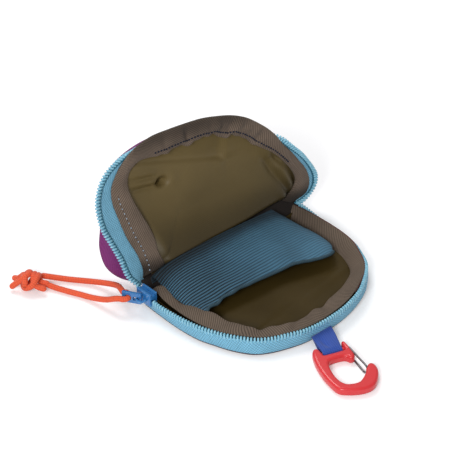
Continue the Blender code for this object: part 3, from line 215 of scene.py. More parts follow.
def make_thread_rows():
    """Rows of thread on a UV map in metres: the height is the size of the sine across the rows, times
    one less the break depth and that depth times the size of the sine along them."""
    tree, source, result = new_group("thread_rows", [
        ("UV", "Vector", None), ("Pitch", "Float", 0.001), ("Tilt", "Float", 0.0),
        ("Break", "Float", 0.001), ("Depth", "Float", 0.5)], ("Height", "Float"))
    split = tree.nodes.new("ShaderNodeSeparateXYZ")
    tree.links.new(source.outputs["UV"], split.inputs[0])
    u, v, tilt = split.outputs[0], split.outputs[1], source.outputs["Tilt"]
    cosine, sine = calc(tree, "COSINE", tilt), calc(tree, "SINE", tilt)
    across = calc(tree, "ADD", calc(tree, "MULTIPLY", u, cosine), calc(tree, "MULTIPLY", v, sine))
    along = calc(tree, "SUBTRACT", calc(tree, "MULTIPLY", v, cosine), calc(tree, "MULTIPLY", u, sine))
    heights = []
    for distance, pitch in ((across, source.outputs["Pitch"]), (along, source.outputs["Break"])):
        turn = calc(tree, "MULTIPLY", calc(tree, "DIVIDE", distance, pitch), math.pi)
        heights.append(calc(tree, "ABSOLUTE", calc(tree, "SINE", turn)))
    depth = source.outputs["Depth"]
    kept = calc(tree, "ADD", calc(tree, "SUBTRACT", 1.0, depth), calc(tree, "MULTIPLY", depth, heights[1]))
    tree.links.new(calc(tree, "MULTIPLY", heights[0], kept), result.inputs["Height"])
    return tree


def make_cloth_tone():
    """Colour of the cloth: the given colour, times one and a slow noise about nothing for its uneven tone,
    times one less the groove's share where the threads are low, which is painted shade in the grooves between
    threads."""
    tree, source, result = new_group("cloth_tone", [
        ("Color", "Color", (0.5, 0.5, 0.5, 1.0)), ("Place", "Vector", None), ("Height", "Float", 1.0),
        ("Patch scale", "Float", 60.0), ("Patch", "Float", 0.2), ("Groove", "Float", 0.3)],
        ("Color", "Color"))
    noise = tree.nodes.new("ShaderNodeTexNoise")
    noise.inputs["Detail"].default_value = 4.0
    tree.links.new(source.outputs["Place"], noise.inputs["Vector"])
    tree.links.new(source.outputs["Patch scale"], noise.inputs["Scale"])
    patch = calc(tree, "MULTIPLY", calc(tree, "SUBTRACT", noise.outputs[0], 0.5), source.outputs["Patch"])
    # Painted shade: the cloth is darker where its threads are low, in the grooves between them.
    low = calc(tree, "SUBTRACT", 1.0, source.outputs["Height"])
    kept = calc(tree, "SUBTRACT", 1.0, calc(tree, "MULTIPLY", low, source.outputs["Groove"]))
    shade = calc(tree, "MULTIPLY", calc(tree, "ADD", patch, 1.0), kept)
    tree.links.new(scaled(tree, source.outputs["Color"], shade), result.inputs["Color"])
    return tree


thread_rows, cloth_tone = make_thread_rows(), make_cloth_tone()


def new_material(name, roughness, metallic=0.0, specular=0.5, sheen=0.0, coat=0.0):
    """A material with its shader, whose even values stay on the shader's own sockets."""
    material = bpy.data.materials.new(name)
    material.use_nodes = True
    tree = material.node_tree
    shader = tree.nodes["Principled BSDF"]
    for socket, value in (("Roughness", roughness), ("Metallic", metallic), ("Specular IOR Level", specular),
                          ("Sheen Weight", sheen), ("Coat Weight", coat)):
        shader.inputs[socket].default_value = value
    return material, tree, shader


def place_node(tree, group, **values):
    """A node group placed in a material with its own values or links."""
    node = tree.nodes.new("ShaderNodeGroup")
    node.node_tree = group
    for name, value in values.items():
        socket = node.inputs[name.replace("_", " ")]
        if isinstance(value, bpy.types.NodeSocket):
            tree.links.new(value, socket)
        else:
            socket.default_value = value
    return node.outputs[0]


def thread_height(tree, uv, rows):
    """Height of one set of thread rows, from its pitch, its tilt in degrees, and the distance and depth
    of the breaks in its threads."""
    pitch, tilt, gap, depth = rows
    return place_node(tree, thread_rows, UV=uv, Pitch=pitch, Tilt=math.radians(tilt), Break=gap, Depth=depth)


def even_change(tree, place, axis, limits):
    """A value that changes smoothly along one axis: from one place to another, from one value to
    another."""
    parts = tree.nodes.new("ShaderNodeSeparateXYZ")
    tree.links.new(place, parts.inputs[0])
    share = tree.nodes.new("ShaderNodeMapRange")
    share.interpolation_type = "SMOOTHSTEP"
    tree.links.new(parts.outputs[axis], share.inputs["Value"])
    for socket, value in zip(("From Min", "From Max", "To Min", "To Max"), limits):
        share.inputs[socket].default_value = value
    return share.outputs[0]


def add_relief(tree, shader, height, distance, strength=1.0):
    """A fine relief on the shader, from a height."""
    relief = tree.nodes.new("ShaderNodeBump")
    relief.inputs["Strength"].default_value = strength
    relief.inputs["Distance"].default_value = distance
    tree.links.new(height, relief.inputs["Height"])
    tree.links.new(relief.outputs[0], shader.inputs["Normal"])


def cloth_places(tree):
    """Object coordinates and the cloth's own UV map."""
    uv = tree.nodes.new("ShaderNodeUVMap")
    uv.uv_map = "cloth_uv"
    return tree.nodes.new("ShaderNodeTexCoord").outputs["Object"], uv.outputs[0]


def cloth_material(name, colour, rows, bump, roughness=0.8, groove=0.35, patch=0.25, patch_scale=60.0,
                   sheen=0.0, specular=0.3, second=None, mix=0.5, fades=()):
    """Woven cloth: one or two sets of thread rows on the UV map for its relief and for painted shade in its
    grooves, and a slow change of tone on Object coordinates. Each fade runs along one axis of the UV map or
    of the Object coordinates, from one place and share of the colour to another."""
    material, tree, shader = new_material(name, roughness, specular=specular, sheen=sheen)
    where, uv = cloth_places(tree)
    threads = thread_height(tree, uv, rows)
    if second:
        threads = calc(tree, "ADD", calc(tree, "MULTIPLY", threads, 1.0 - mix),
                       calc(tree, "MULTIPLY", thread_height(tree, uv, second), mix))
    tone = place_node(tree, cloth_tone, Color=(*colour, 1.0), Place=where, Height=threads,
                      Patch_scale=patch_scale, Patch=patch, Groove=groove)
    for source, axis, limits in fades:
        tone = scaled(tree, tone, even_change(tree, uv if source == "uv" else where, axis, limits))
    tree.links.new(tone, shader.inputs["Base Color"])
    add_relief(tree, shader, threads, bump, 0.8)
    return material


cord_look = cloth_material("orange_braid", (0.86, 0.115, 0.042), (0.00085, 0.0, 1.0, 0.0), 0.00012,
                           roughness=0.7, groove=0.34, patch=0.12, sheen=0.1,
                           second=(0.125, 90.0, 0.0017, 0.6))
for name, points, count, node in (("cord_bight", bight_points, 40, "pull_cord_bight"),
                                  ("cord_upper_strand", upper_points, 90, "pull_cord_upper"),
                                  ("cord_lower_strand", lower_points, 90, "pull_cord_lower")):
    line = smooth_line(np.array(points) * mm, count)
    piece = mesh_piece(name, tube_mesh(line, cord_diameter / 2, 20), cord_look, "pull_cord")
    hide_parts(node)

# Knot
# Both strands are tied together in one fat overhand knot: two turns of doubled cord round the strands,
# pulled tight, and the two cut ends stick out at the back as short tails.
knot_middle = np.array((-89.5, 88.0, 5.2)) * mm
knot_turn = math.radians(128.0)
knot_along = np.array((math.cos(knot_turn), math.sin(knot_turn), 0.0))
knot_side = np.array((-knot_along[1], knot_along[0], 0.0))
knot_up = np.array((0.0, 0.0, 1.0))
knot_cord_radius = cord_diameter * 0.52


def knot_line(table):
    """Smooth line through points given along, beside and above the knot's middle in millimetres."""
    t = np.array(table) * mm
    return smooth_line(knot_middle + t[:, :1] * knot_along + t[:, 1:2] * knot_side + t[:, 2:] * knot_up, 60)


knot_turns = (
    ((-8.6, 3.6, -1.6), (-5.6, 3.4, -1.0), (-3.4, 2.6, 0.6), (-2.6, -0.4, 2.7), (-2.4, -3.4, 1.6),
     (-1.6, -4.5, -0.9), (-0.2, -2.4, -3.2), (0.6, 1.4, -3.2), (1.0, 4.2, -1.2), (0.8, 4.2, 1.2),
     (1.4, 1.6, 2.7), (2.9, -1.5, 1.8), (4.4, -2.2, 0.0), (6.3, -2.5, -1.8), (8.6, -3.9, -3.0)),
    ((-8.9, -1.2, -2.0), (-6.2, -1.3, -1.6), (-4.2, -3.2, -0.6), (-4.6, -2.4, 1.9), (-4.6, 0.8, 2.6),
     (-3.6, 4.0, 0.9), (-1.6, 4.8, -0.8), (1.4, 3.4, -2.6), (3.2, -0.6, -2.8), (3.2, -4.0, -1.2),
     (1.6, -4.7, 0.9), (-0.4, -2.2, 3.0), (1.0, 1.3, 3.3), (3.4, 2.6, 1.3), (5.6, 2.7, -0.6),
     (7.8, 3.4, -2.4)),
)
knot = mesh_piece("cord_knot", joined([tube_mesh(knot_line(table), knot_cord_radius, 18)
                                       for table in knot_turns]), cord_look, "pull_cord")
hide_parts("pull_knot")

# Lid shell
# Half of the outside: purple coated cloth, cut as a D and sewn into a soft dome by its seam to the zip
# tape. It stands on its own bulge, which swells past the rim at the lower left.
hinge_y, hinge_z = 0.0385, 0.0095
pouch_width = 0.112
left_opening, right_opening = 115.0, 91.0
shell_thickness, lining_thickness, band_thickness, tape_thickness = 0.0009, 0.0005, 0.0006, 0.0005
coated_rows, ribbed_rows = (0.0007, 0.0, 0.0007, 0.6), (0.00095, 38.0, 0.0008, 0.25)


def on_lid(x, reach, height):
    """World points of the lid from millimetres: reach from the hinge and height out from the zip plane,
    both turned by the opening angle in degrees, which falls evenly from the left to the right end."""
    x, reach, height = (np.asarray(value, dtype=float) * mm for value in (x, reach, height))
    from_left = np.clip(x / pouch_width + 0.5, 0.0, 1.0)
    turn = np.radians(left_opening - (left_opening - right_opening) * from_left)
    return np.stack([x, hinge_y + height * np.sin(turn) - reach * np.cos(turn),
                     hinge_z + reach * np.sin(turn) + height * np.cos(turn)], axis=-1)


def lid_world(points):
    """World points of any array of lid points."""
    return on_lid(*np.moveaxis(points, -1, 0))


# Stations round the lid from the hinge's left end over the top to its right end. Each row: the seam of
# tape and band, the fold of the band, the zip's outer edge, the band's inner edge and the shell's belly.
lid_table = np.array((
    (-52.5, 1.0, 5.6, -51.0, 1.4, 5.6, -55.9, 0.9, 1.4, -40.0, 2.6, 4.8, -45.0, 0.4, 12.6),
    (-49.2, 3.6, 6.8, -48.0, 3.8, 6.8, -55.7, 3.4, 4.0, -37.4, 6.0, 3.8, -52.4, 3.2, 13.4),
    (-47.6, 7.2, 7.0, -46.4, 7.2, 6.9, -58.0, 7.4, 4.8, -37.8, 9.0, 4.0, -57.2, 7.4, 14.2),
    (-47.8, 12.0, 7.0, -46.6, 12.0, 6.9, -58.9, 12.6, 5.0, -38.6, 13.4, 4.5, -60.6, 12.2, 15.0),
    (-48.5, 17.0, 7.0, -47.3, 17.0, 6.9, -59.3, 17.8, 5.0, -37.8, 18.2, 5.6, -62.3, 17.4, 15.0),
    (-50.9, 26.0, 7.0, -49.7, 25.9, 6.9, -61.5, 27.6, 5.0, -38.0, 25.0, 7.1, -61.6, 26.2, 15.0),
    (-52.1, 36.5, 7.0, -50.9, 36.4, 6.9, -63.5, 36.8, 5.0, -40.2, 34.8, 8.0, -58.0, 35.0, 14.0),
    (-52.6, 45.6, 7.0, -51.4, 45.4, 6.9, -62.5, 47.4, 5.0, -42.3, 43.5, 8.0, -55.5, 44.6, 13.0),
    (-51.0, 52.6, 7.0, -49.8, 52.2, 6.8, -58.9, 54.6, 5.0, -42.5, 50.6, 8.0, -53.0, 52.0, 12.5),
    (-47.0, 57.8, 7.0, -45.8, 57.6, 6.5, -53.2, 60.4, 5.2, -40.6, 55.6, 8.0, -49.4, 57.2, 12.5),
    (-43.0, 61.2, 6.8, -42.0, 61.8, 5.8, -47.3, 63.6, 5.8, -37.4, 58.6, 8.0, -44.6, 60.6, 12.5),
    (-38.6, 64.4, 6.4, -38.0, 65.4, 4.9, -40.6, 65.2, 7.4, -32.8, 60.6, 8.0, -39.4, 63.2, 12.5),
    (-33.0, 67.0, 6.4, -32.8, 68.2, 4.2, -33.6, 65.6, 9.2, -27.8, 60.4, 8.0, -33.6, 64.8, 13.0),
    (-25.0, 68.9, 6.4, -25.0, 70.2, 4.0, -25.0, 66.8, 9.8, -21.4, 59.4, 8.0, -25.4, 66.0, 13.5),
    (-16.0, 69.1, 6.4, -16.0, 70.4, 4.0, -16.0, 66.9, 9.8, -13.6, 59.1, 8.0, -16.4, 66.2, 13.5),
    (-7.0, 68.9, 6.4, -7.0, 70.3, 4.0, -7.0, 66.8, 9.8, -5.4, 59.6, 8.0, -7.2, 66.0, 13.5),
    (1.6, 68.5, 6.4, 1.6, 69.8, 4.0, 1.5, 66.3, 9.8, 2.4, 59.4, 8.0, 1.4, 65.6, 13.5),
    (9.4, 67.0, 6.4, 9.4, 68.2, 4.0, 9.0, 64.9, 9.8, 8.6, 58.2, 8.0, 9.2, 64.2, 13.5),
    (17.2, 64.6, 6.4, 17.4, 65.8, 4.0, 16.6, 62.6, 9.8, 14.8, 55.8, 8.0, 17.0, 61.8, 13.5),
    (25.0, 60.6, 6.4, 25.4, 61.6, 4.0, 24.0, 58.8, 9.8, 21.2, 53.2, 8.0, 24.6, 58.0, 13.5),
    (32.9, 54.0, 6.2, 33.4, 54.6, 4.0, 32.0, 52.4, 9.2, 28.2, 47.8, 8.0, 32.2, 51.8, 13.0),
    (38.6, 48.0, 5.4, 39.0, 48.4, 3.9, 39.0, 47.2, 6.8, 34.0, 42.0, 7.0, 38.2, 45.4, 12.5),
    (43.2, 42.2, 4.4, 42.8, 42.6, 3.6, 45.0, 43.0, 4.2, 38.8, 38.2, 5.6, 43.0, 40.0, 12.5),
    (47.4, 36.2, 3.6, 46.8, 36.4, 3.2, 50.4, 36.6, 2.6, 43.4, 33.2, 4.5, 47.4, 34.8, 12.5),
    (51.2, 31.2, 3.2, 50.6, 31.2, 3.1, 55.2, 31.0, 2.0, 47.2, 28.0, 4.1, 51.4, 30.2, 12.5),
    (54.6, 26.2, 3.0, 54.0, 26.2, 3.0, 59.6, 24.8, 2.0, 50.2, 23.6, 4.0, 54.8, 25.0, 12.5),
    (59.2, 19.2, 3.0, 58.6, 19.2, 3.0, 63.8, 18.0, 2.0, 53.0, 18.6, 4.0, 57.6, 18.4, 12.5),
    (61.8, 12.4, 3.0, 61.2, 12.4, 3.0, 66.2, 12.4, 2.0, 54.2, 14.2, 4.0, 58.8, 11.8, 12.5),
    (61.8, 7.0, 3.0, 61.2, 7.0, 3.0, 66.0, 7.0, 2.0, 53.6, 10.0, 4.4, 58.2, 6.4, 12.5),
    (59.4, 3.2, 3.2, 58.8, 3.4, 3.2, 62.8, 2.6, 2.0, 51.8, 6.4, 5.2, 55.6, 1.6, 12.8),
    (55.0, 1.0, 4.4, 54.6, 1.2, 4.4, 57.6, 0.2, 1.6, 48.0, 3.4, 6.4, 51.0, -0.8, 13.0),
    (52.0, 0.0, 5.0, 51.8, 0.2, 5.0, 53.0, -0.4, 1.6, 46.6, 2.6, 6.8, 48.6, -1.4, 13.0),
))
outline_rows = 220


def table_line(table, column):
    """One line of a table of stations in millimetres, smoothed. Every line of a table takes its rows at
    the same stations, spread by the length of its first line."""
    station_step = 4.0
    dense = smooth_line(np.column_stack([np.arange(len(table)) * station_step, table]), 1600)
    run = arc_length(dense[:, 1:4])
    at = np.interp(np.linspace(0.0, run[-1], outline_rows), run, np.arange(len(dense)))
    return points_at(at, np.arange(len(dense)), dense[:, 1 + column:4 + column])


lid_seam, lid_fold, lid_edge, lid_inner, lid_belly = (table_line(lid_table, column)
                                                      for column in (0, 3, 6, 9, 12))


def grid_normals(points, wrap=False):
    """Normal at each point of a grid: the cross product of its step across and its step along."""
    if wrap:
        step = np.roll(points, -1, axis=1) - np.roll(points, 1, axis=1)
    else:
        step = np.gradient(points, axis=1)
    return unit(np.cross(step, np.gradient(points, axis=0)))


def corner_values(values, faces):
    """The value of its point for each corner of each face."""
    return values[np.concatenate([np.asarray(face) for face in faces])]


def skin_mesh(front, thickness, uv=None):
    """Closed cloth from one grid: the grid as it is, the same grid moved back along its normals, and a
    row of quads round the edge. The UV map is the run along and across the grid in metres."""
    rows, columns = front.shape[:2]
    back = front - grid_normals(front) * thickness
    if uv is None:
        along = arc_length(front[:, columns // 2])
        steps = np.linalg.norm(np.diff(front, axis=1), axis=2)
        across = np.concatenate([np.zeros((rows, 1)), np.cumsum(steps, axis=1)], axis=1)
        uv = np.stack([np.broadcast_to(along[:, None], (rows, columns)), across], -1)
    quads, _, _ = grid_quads(rows, columns)
    count = rows * columns
    index = np.arange(count).reshape(rows, columns)
    rim = np.concatenate([index[0, :-1], index[:-1, -1], index[-1, :0:-1], index[:0:-1, 0]])
    after = np.roll(rim, -1)
    faces = np.vstack([quads, quads[:, ::-1] + count, np.stack([after, rim, rim + count, after + count], -1)])
    points = np.vstack([front.reshape(-1, 3), back.reshape(-1, 3)])
    return points, faces, corner_values(np.vstack([uv.reshape(-1, 2)] * 2), faces)


def dome_mesh(rings, pole, thickness, uv, pole_uv):
    """Closed cloth dome: rings of points from the edge to a last point in the middle, the same moved
    back along the normals, and a row of quads round the edge. Its front faces the cross product of the
    step round the rings and the step inwards."""
    rows, columns = rings.shape[:2]
    normals = grid_normals(rings, wrap=True)
    middle = unit(normals[-1].mean(axis=0))
    front = np.vstack([rings.reshape(-1, 3), pole[None]])
    back = np.vstack([(rings - normals * thickness).reshape(-1, 3), (pole - middle * thickness)[None]])
    quads, _, _ = grid_quads(rows, columns, wrap=True)
    count = rows * columns + 1
    ring = np.arange(columns)
    after = (ring + 1) % columns
    last = (rows - 1) * columns
    fan = np.stack([last + ring, last + after, np.full(columns, count - 1)], -1)
    rim = np.stack([after, ring, ring + count, after + count], -1)
    faces = [tuple(face) for part in (quads, fan, quads[:, ::-1] + count, fan[:, ::-1] + count, rim)
             for face in part]
    flat = np.vstack([uv.reshape(-1, 2), pole_uv[None]] * 2)
    return np.vstack([front, back]), faces, corner_values(flat, faces)


def lid_outline(line, hinge_reach, hinge_height):
    """Closed outline: a line of the lid and its way back along the hinge, from right to left."""
    share = np.linspace(0.0, 1.0, 72)[1:-1]
    back = line[-1] * (1 - share[:, None]) + line[0] * share[:, None]
    ease = np.sin(math.pi * share) ** 0.35
    back[:, 1] += (hinge_reach - back[:, 1]) * ease
    back[:, 2] += (hinge_height - back[:, 2]) * ease
    return np.vstack([line, back])


def soften(outline, passes):
    """Each point of a closed outline moved to the middle of its neighbours, again and again."""
    for _ in range(passes):
        outline = 0.5 * outline + 0.25 * (np.roll(outline, 1, axis=0) + np.roll(outline, -1, axis=0))
    return outline


lid_middle = np.array((0.0, 35.0))


def drawn_in(outline, shares, depth, power, ease=1.0):
    """Rings of an outline drawn in to the middle of the lid, one for each share. Their height goes from
    the outline's to the depth by one less the share's power, with its own ease as a second power."""
    rings = np.repeat(outline[None], len(shares), axis=0)
    share = np.asarray(shares)[:, None]
    rings[:, :, :2] = lid_middle + (outline[:, :2] - lid_middle) * share[..., None]
    rings[:, :, 2] += (depth - outline[:, 2]) * (1.0 - share ** power) ** ease
    return rings


def ramp(x, start, length):
    """Share of the way from a start over a length, kept from 0 to 1. A negative length runs back."""
    return np.clip((x - start) / length, 0.0, 1.0)


def lid_wrinkles(x, reach):
    """Slow dents of handled cloth: three sines across the dome in different directions."""
    return (0.35 * np.sin(0.16 * x + 0.11 * reach) + 0.28 * np.sin(0.23 * reach - 0.09 * x + 1.3)
            + 0.18 * np.sin(0.31 * x - 0.17 * reach + 0.6))


shell_depth, side_rings = 22.2, 9
shell_lip = lid_seam.copy()
shell_lip[:, :2] += unit(lid_middle - lid_seam[:, :2]) * 1.0
shell_lip[:, 2] += 1.6
shell_seam = soften(lid_outline(shell_lip, 0.9, 7.9), 3)
shell_belly = soften(lid_outline(lid_belly, -1.8, 13.0), 6)
quarter = np.linspace(0.0, 1.0, side_rings)[:, None, None] * math.pi / 2
swell = np.concatenate([np.sin(quarter), np.sin(quarter), 1.0 - np.cos(quarter)], axis=-1)
back_rings = drawn_in(shell_belly, (0.985, 0.965, 0.93, 0.88, 0.82, 0.75, 0.67, 0.58, 0.48, 0.38, 0.28, 0.18,
                                    0.09), shell_depth, 3.0, 0.62)
shell_rings = np.concatenate([shell_seam + (shell_belly - shell_seam) * swell, back_rings])
inward = ramp(np.arange(len(shell_rings)), side_rings - 1, 6.0)[:, None]
shell_rings[:, :, 2] += lid_wrinkles(shell_rings[:, :, 0], shell_rings[:, :, 1]) * inward
shell_look = cloth_material("purple_coated_cloth", (0.195, 0.028, 0.155), coated_rows, 0.00005, roughness=0.6,
                            groove=0.2, patch=0.3, patch_scale=45.0, specular=0.2)
shell_pole = on_lid(lid_middle[0], lid_middle[1], shell_depth + lid_wrinkles(*lid_middle))
lid_shell = mesh_piece("lid_shell_cloth", dome_mesh(
    lid_world(shell_rings)[:, ::-1], shell_pole, shell_thickness, shell_rings[:, ::-1, :2] * mm,
    lid_middle * mm), shell_look, "lid")
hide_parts("lid_shell")

# Lid lining
# Thin olive coated cloth, sewn in under the band and loose within it. It rolls forward over the hinge,
# and it keeps a small deep dimple, the straight creases of its packing and a few folds.
lining_depth = 14.5
lining_shares = np.linspace(1.0, 0.03, 62)
lining_edge = lid_inner + (lid_seam - lid_inner) * 0.45 + np.array((0.0, 0.0, 1.5))
lining_outline = soften(lid_outline(lining_edge, 3.0, 7.6), 14)
lining_rings = drawn_in(lining_outline, lining_shares, lining_depth, 3.2)


def bell(x, width):
    """Bell curve: the exponential of the negative square of x by the width."""
    return np.exp(-(x / width) ** 2)


def hinge_roll(x, reach):
    """How far the loose lining rolls forward over the hinge: most at 8 mm from it, by a steep bell curve
    below and a wide one above, with a smooth fade at both ends."""
    most = 8.8 - 0.028 * (x + 38.0)
    ends = ramp(x, -43.0, 10.0) * ramp(x, 56.0, -12.0)
    return most * bell(reach - 8.0, np.where(reach < 8.0, 4.5, 17.0)) * ends * ends * (3.0 - 2.0 * ends)


def lining_relief(x, reach):
    """How far the lining stands forward: a sharp round dimple with a low lip, a dent at the right, the
    pleats that run out of the dimple to the left, two straight packing creases, a fold at the lower
    right, a hollow above the hinge and slow waves."""
    dimple = -6.5 * np.exp(-(((x + 20.4) / 2.9) ** 2 + ((reach - 42.4) / 2.2) ** 2) ** 1.4)
    lip = 0.7 * bell(x + 14.6, 3.0) * bell(reach - 42.0, 4.2)
    dent = -3.2 * bell(x - 43.5, 4.2) * bell(reach - 31.0, 5.0)
    pleat_line = reach - (42.6 - 0.28 * (x + 25.0))
    pleats = (1.3 * bell(pleat_line - 2.4, 1.7) - 1.5 * bell(pleat_line + 0.6, 1.5)
              + 1.0 * bell(pleat_line - 7.0, 2.2) - 0.8 * bell(pleat_line - 4.6, 1.3))
    pleats = 0.75 * pleats * ramp(x, -22.0, -5.0) * ramp(x, -42.0, 8.0)
    crease_line = reach - (57.0 - 0.375 * (x + 31.0))
    crease = 0.8 * np.tanh(crease_line / 1.3) * bell(crease_line, 8.0) * ramp(x, 17.5, -4.0)
    upright = 0.9 * np.tanh((x - 17.0) / 1.2) * bell(x - 17.0, 7.0) * ramp(reach, 38.5, 4.0)
    fold_line = (x - 46.0) + 0.52 * (reach - 22.0)
    fold = (1.5 * bell(fold_line, 2.2) - 1.5 * bell(fold_line + 4.4, 2.4)) * ramp(reach, 38.0, -8.0)
    hollow = -2.2 * bell(x + 6.0, 20.0) * bell(reach - 20.0, 7.0)
    waves = 0.35 * np.sin(0.14 * x - 0.1 * reach) + 0.3 * np.sin(0.2 * reach + 0.06 * x + 0.8)
    return dimple + lip + dent + pleats - crease + upright + fold * ramp(x, 34.0, 6.0) + hollow + waves


def lining_forward(x, reach):
    """The lining's relief and its roll over the hinge together."""
    return lining_relief(x, reach) + hinge_roll(x, reach)


settled = ramp(lining_shares, 1.0, -0.105)[:, None]
lining_rings[:, :, 2] -= lining_forward(lining_rings[:, :, 0], lining_rings[:, :, 1]) * settled
# Painted shade and light: the lining is darker low down near the hinge, by its run from the hinge and by its
# height, and paler higher up.
lining_look = cloth_material("olive_coated_lining", (0.134, 0.095, 0.034), (0.0007, 0.0, 0.0007, 0.5),
                             0.00004, roughness=0.5, groove=0.2, patch=0.4, patch_scale=32.0, specular=0.3,
                             fades=[("uv", "Y", (0.010, 0.046, 0.72, 1.12)),
                                    ("object", "Z", (0.016, 0.030, 0.62, 1.0))])
lining_pole = on_lid(lid_middle[0], lid_middle[1], lining_depth - lining_forward(*lid_middle))
lid_lining = mesh_piece("lid_lining_cloth", dome_mesh(
    lid_world(lining_rings), lining_pole, lining_thickness, lining_rings[:, :, :2] * mm, lid_middle * mm),
    lining_look, "lid")
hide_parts("lid_lining")

# Lid band
# A ribbed brown facing tape, 10 to 12 mm wide, sewn to the zip tape with one dashed seam and folded in
# over the lining's edge. At the top it is folded back, and it wrinkles there.


def cross_lines(lines, count):
    """Grid whose rows pass smoothly through one point of each line, by the same cubic as a smooth line."""
    p = np.stack(lines)
    ends = np.concatenate([2 * p[:1] - p[1:2], p, 2 * p[-1:] - p[-2:-1]])
    at = np.linspace(0.0, len(lines) - 1.0, count)
    k = np.minimum(at.astype(int), len(lines) - 2)
    return np.moveaxis(cubic(ends[k], ends[k + 1], ends[k + 2], ends[k + 3], (at - k)[:, None, None]), 0, 1)


station = np.linspace(0.0, 1.0, outline_rows)
top_share = ramp(station, 0.36, 0.06) * ramp(station, 0.74, -0.06)
band_wave = (0.35 + 0.9 * top_share) * (np.sin(61.0 * station) + 0.7 * np.sin(113.0 * station + 1.0)
                                        + 0.5 * np.sin(203.0 * station + 2.0)) * 0.6
band_inner = lid_inner.copy()
band_inner[:, 1] += band_wave * top_share
band_inner[:, 2] -= 0.3
band_middle = 0.45 * lid_fold + 0.55 * band_inner
band_middle[:, 2] -= 0.7 + 1.5 * band_wave * top_share
band_tuck = band_inner + (band_inner - band_middle) * np.array((0.03, 0.03, 0.0)) + np.array((0.0, 0.0, 0.9))
band_grid = cross_lines([lid_seam, lid_fold, band_middle, band_inner, band_tuck], 33)[4:]
# Painted shade: the band is darker at its top, where it is folded back, and darker still at its lower ends in
# the hinge fold.
band_look = cloth_material("brown_ribbed_band", (0.200, 0.146, 0.108), ribbed_rows, 0.00022, roughness=0.85,
                           groove=0.66, patch=0.6, patch_scale=95.0, sheen=0.05,
                           fades=[("object", "Z", (0.0635, 0.0755, 1.0, 0.42)),
                                  ("object", "Z", (0.0125, 0.0215, 0.22, 1.0))])
band_world = lid_world(band_grid)
lid_band = mesh_piece("lid_band", skin_mesh(band_world[:, ::-1], band_thickness), band_look, "lid")
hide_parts("lid_facing_band")

# Lid zip tape
# Light blue woven polyester tape. Its inner edge is caught in the band's seam; it splays out at the
# left, lies folded back against the shell along the top, and stands narrow at the right.
lid_tape_middle = 0.5 * (lid_seam + lid_edge)
lid_tape_middle[:, 2] -= 0.25
lid_tape_grid = cross_lines([lid_edge, lid_tape_middle, lid_seam, lid_seam * 0.93 + lid_inner * 0.07], 22)
lid_tape_grid[:, :, 2] += 0.15
tape_world = lid_world(lid_tape_grid)
tape_look = cloth_material("blue_zip_tape", (0.25, 0.60, 0.83), (0.0011, 55.0, 0.0009, 0.75), 0.00016,
                           roughness=0.75, groove=0.62, patch=0.3, patch_scale=220.0, sheen=0.05,
                           second=(0.0011, -40.0, 0.0008, 0.6), mix=0.4)
lid_tape = mesh_piece("lid_tape_cloth", skin_mesh(tape_world, tape_thickness), tape_look, "lid")
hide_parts("lid_zip_tape")

# Zip teeth
# Moulded nylon teeth, one every 1.65 mm on the tape's edge: each is a short bar across the edge with
# bevelled ends, and a darker woven bead runs along their feet.
tooth_pitch, tooth_width, tooth_height, tooth_sink = 0.00165, 0.00100, 0.0017, 0.0003
lid_bead_radius, base_bead_radius = 0.00042, 0.0005
tooth_profile = np.array(((-0.50, -0.30), (-0.42, -0.50), (0.30, -0.50), (0.50, -0.34), (0.50, 0.34),
                          (0.30, 0.50), (-0.42, 0.50), (-0.50, 0.30)))


def bars_mesh(rings, lean):
    """Separate closed bars, from the rings of points of each bar. The UV map is x with the lean's share
    of y added, and z."""
    bars, count, sides = rings.shape[:3]
    size = count * sides
    quads, _, _ = grid_quads(count, sides, wrap=True)
    one = [tuple(quad) for quad in quads] + [tuple(range(sides))[::-1], tuple(range(size - sides, size))]
    faces = [tuple(index + size * bar for index in face) for bar in range(bars) for face in one]
    points = rings.reshape(-1, 3)
    uv = np.stack([points[:, 0] + lean * points[:, 1], points[:, 2]], -1)
    return points, faces, corner_values(uv, faces)


def row_of_teeth(line, outward, normal, length):
    """A chain of bars: the same eight-sided profile at four places along the chain, full in the middle
    and drawn in at both ends, set with its length outwards and its height along the normal."""
    run = arc_length(line)
    count = int(run[-1] / tooth_pitch)
    at = (np.arange(count) + 0.5) * run[-1] / count
    centre, out, up = (points_at(at, run, values)[:, None, None] for values in (line, outward, normal))
    out, up = unit(out), unit(up)
    place = np.array((-0.5, -0.32, 0.32, 0.5))[:, None, None]
    size = np.array((0.62, 1.0, 1.0, 0.62))[:, None, None]
    rings = (centre + np.cross(out, up) * tooth_width * place
             + out * (tooth_profile[:, :1] * length * (0.5 + 0.5 * size))
             + up * (tooth_profile[:, 1:] * tooth_height * size))
    return bars_mesh(rings, 1.0)


def object_noise(tree, scale):
    """Noise on the Object coordinates."""
    where = tree.nodes.new("ShaderNodeTexCoord")
    noise = tree.nodes.new("ShaderNodeTexNoise")
    noise.inputs["Scale"].default_value = scale
    tree.links.new(where.outputs["Object"], noise.inputs["Vector"])
    return noise.outputs[0]


def two_colours(tree, shader, share, first, second):
    """The shader's colour, which goes from the first to the second by a share."""
    blend = tree.nodes.new("ShaderNodeMix")
    blend.data_type = "RGBA"
    blend.inputs[6].default_value, blend.inputs[7].default_value = (*first, 1.0), (*second, 1.0)
    tree.links.new(share, blend.inputs[0])
    tree.links.new(blend.outputs[2], shader.inputs["Base Color"])


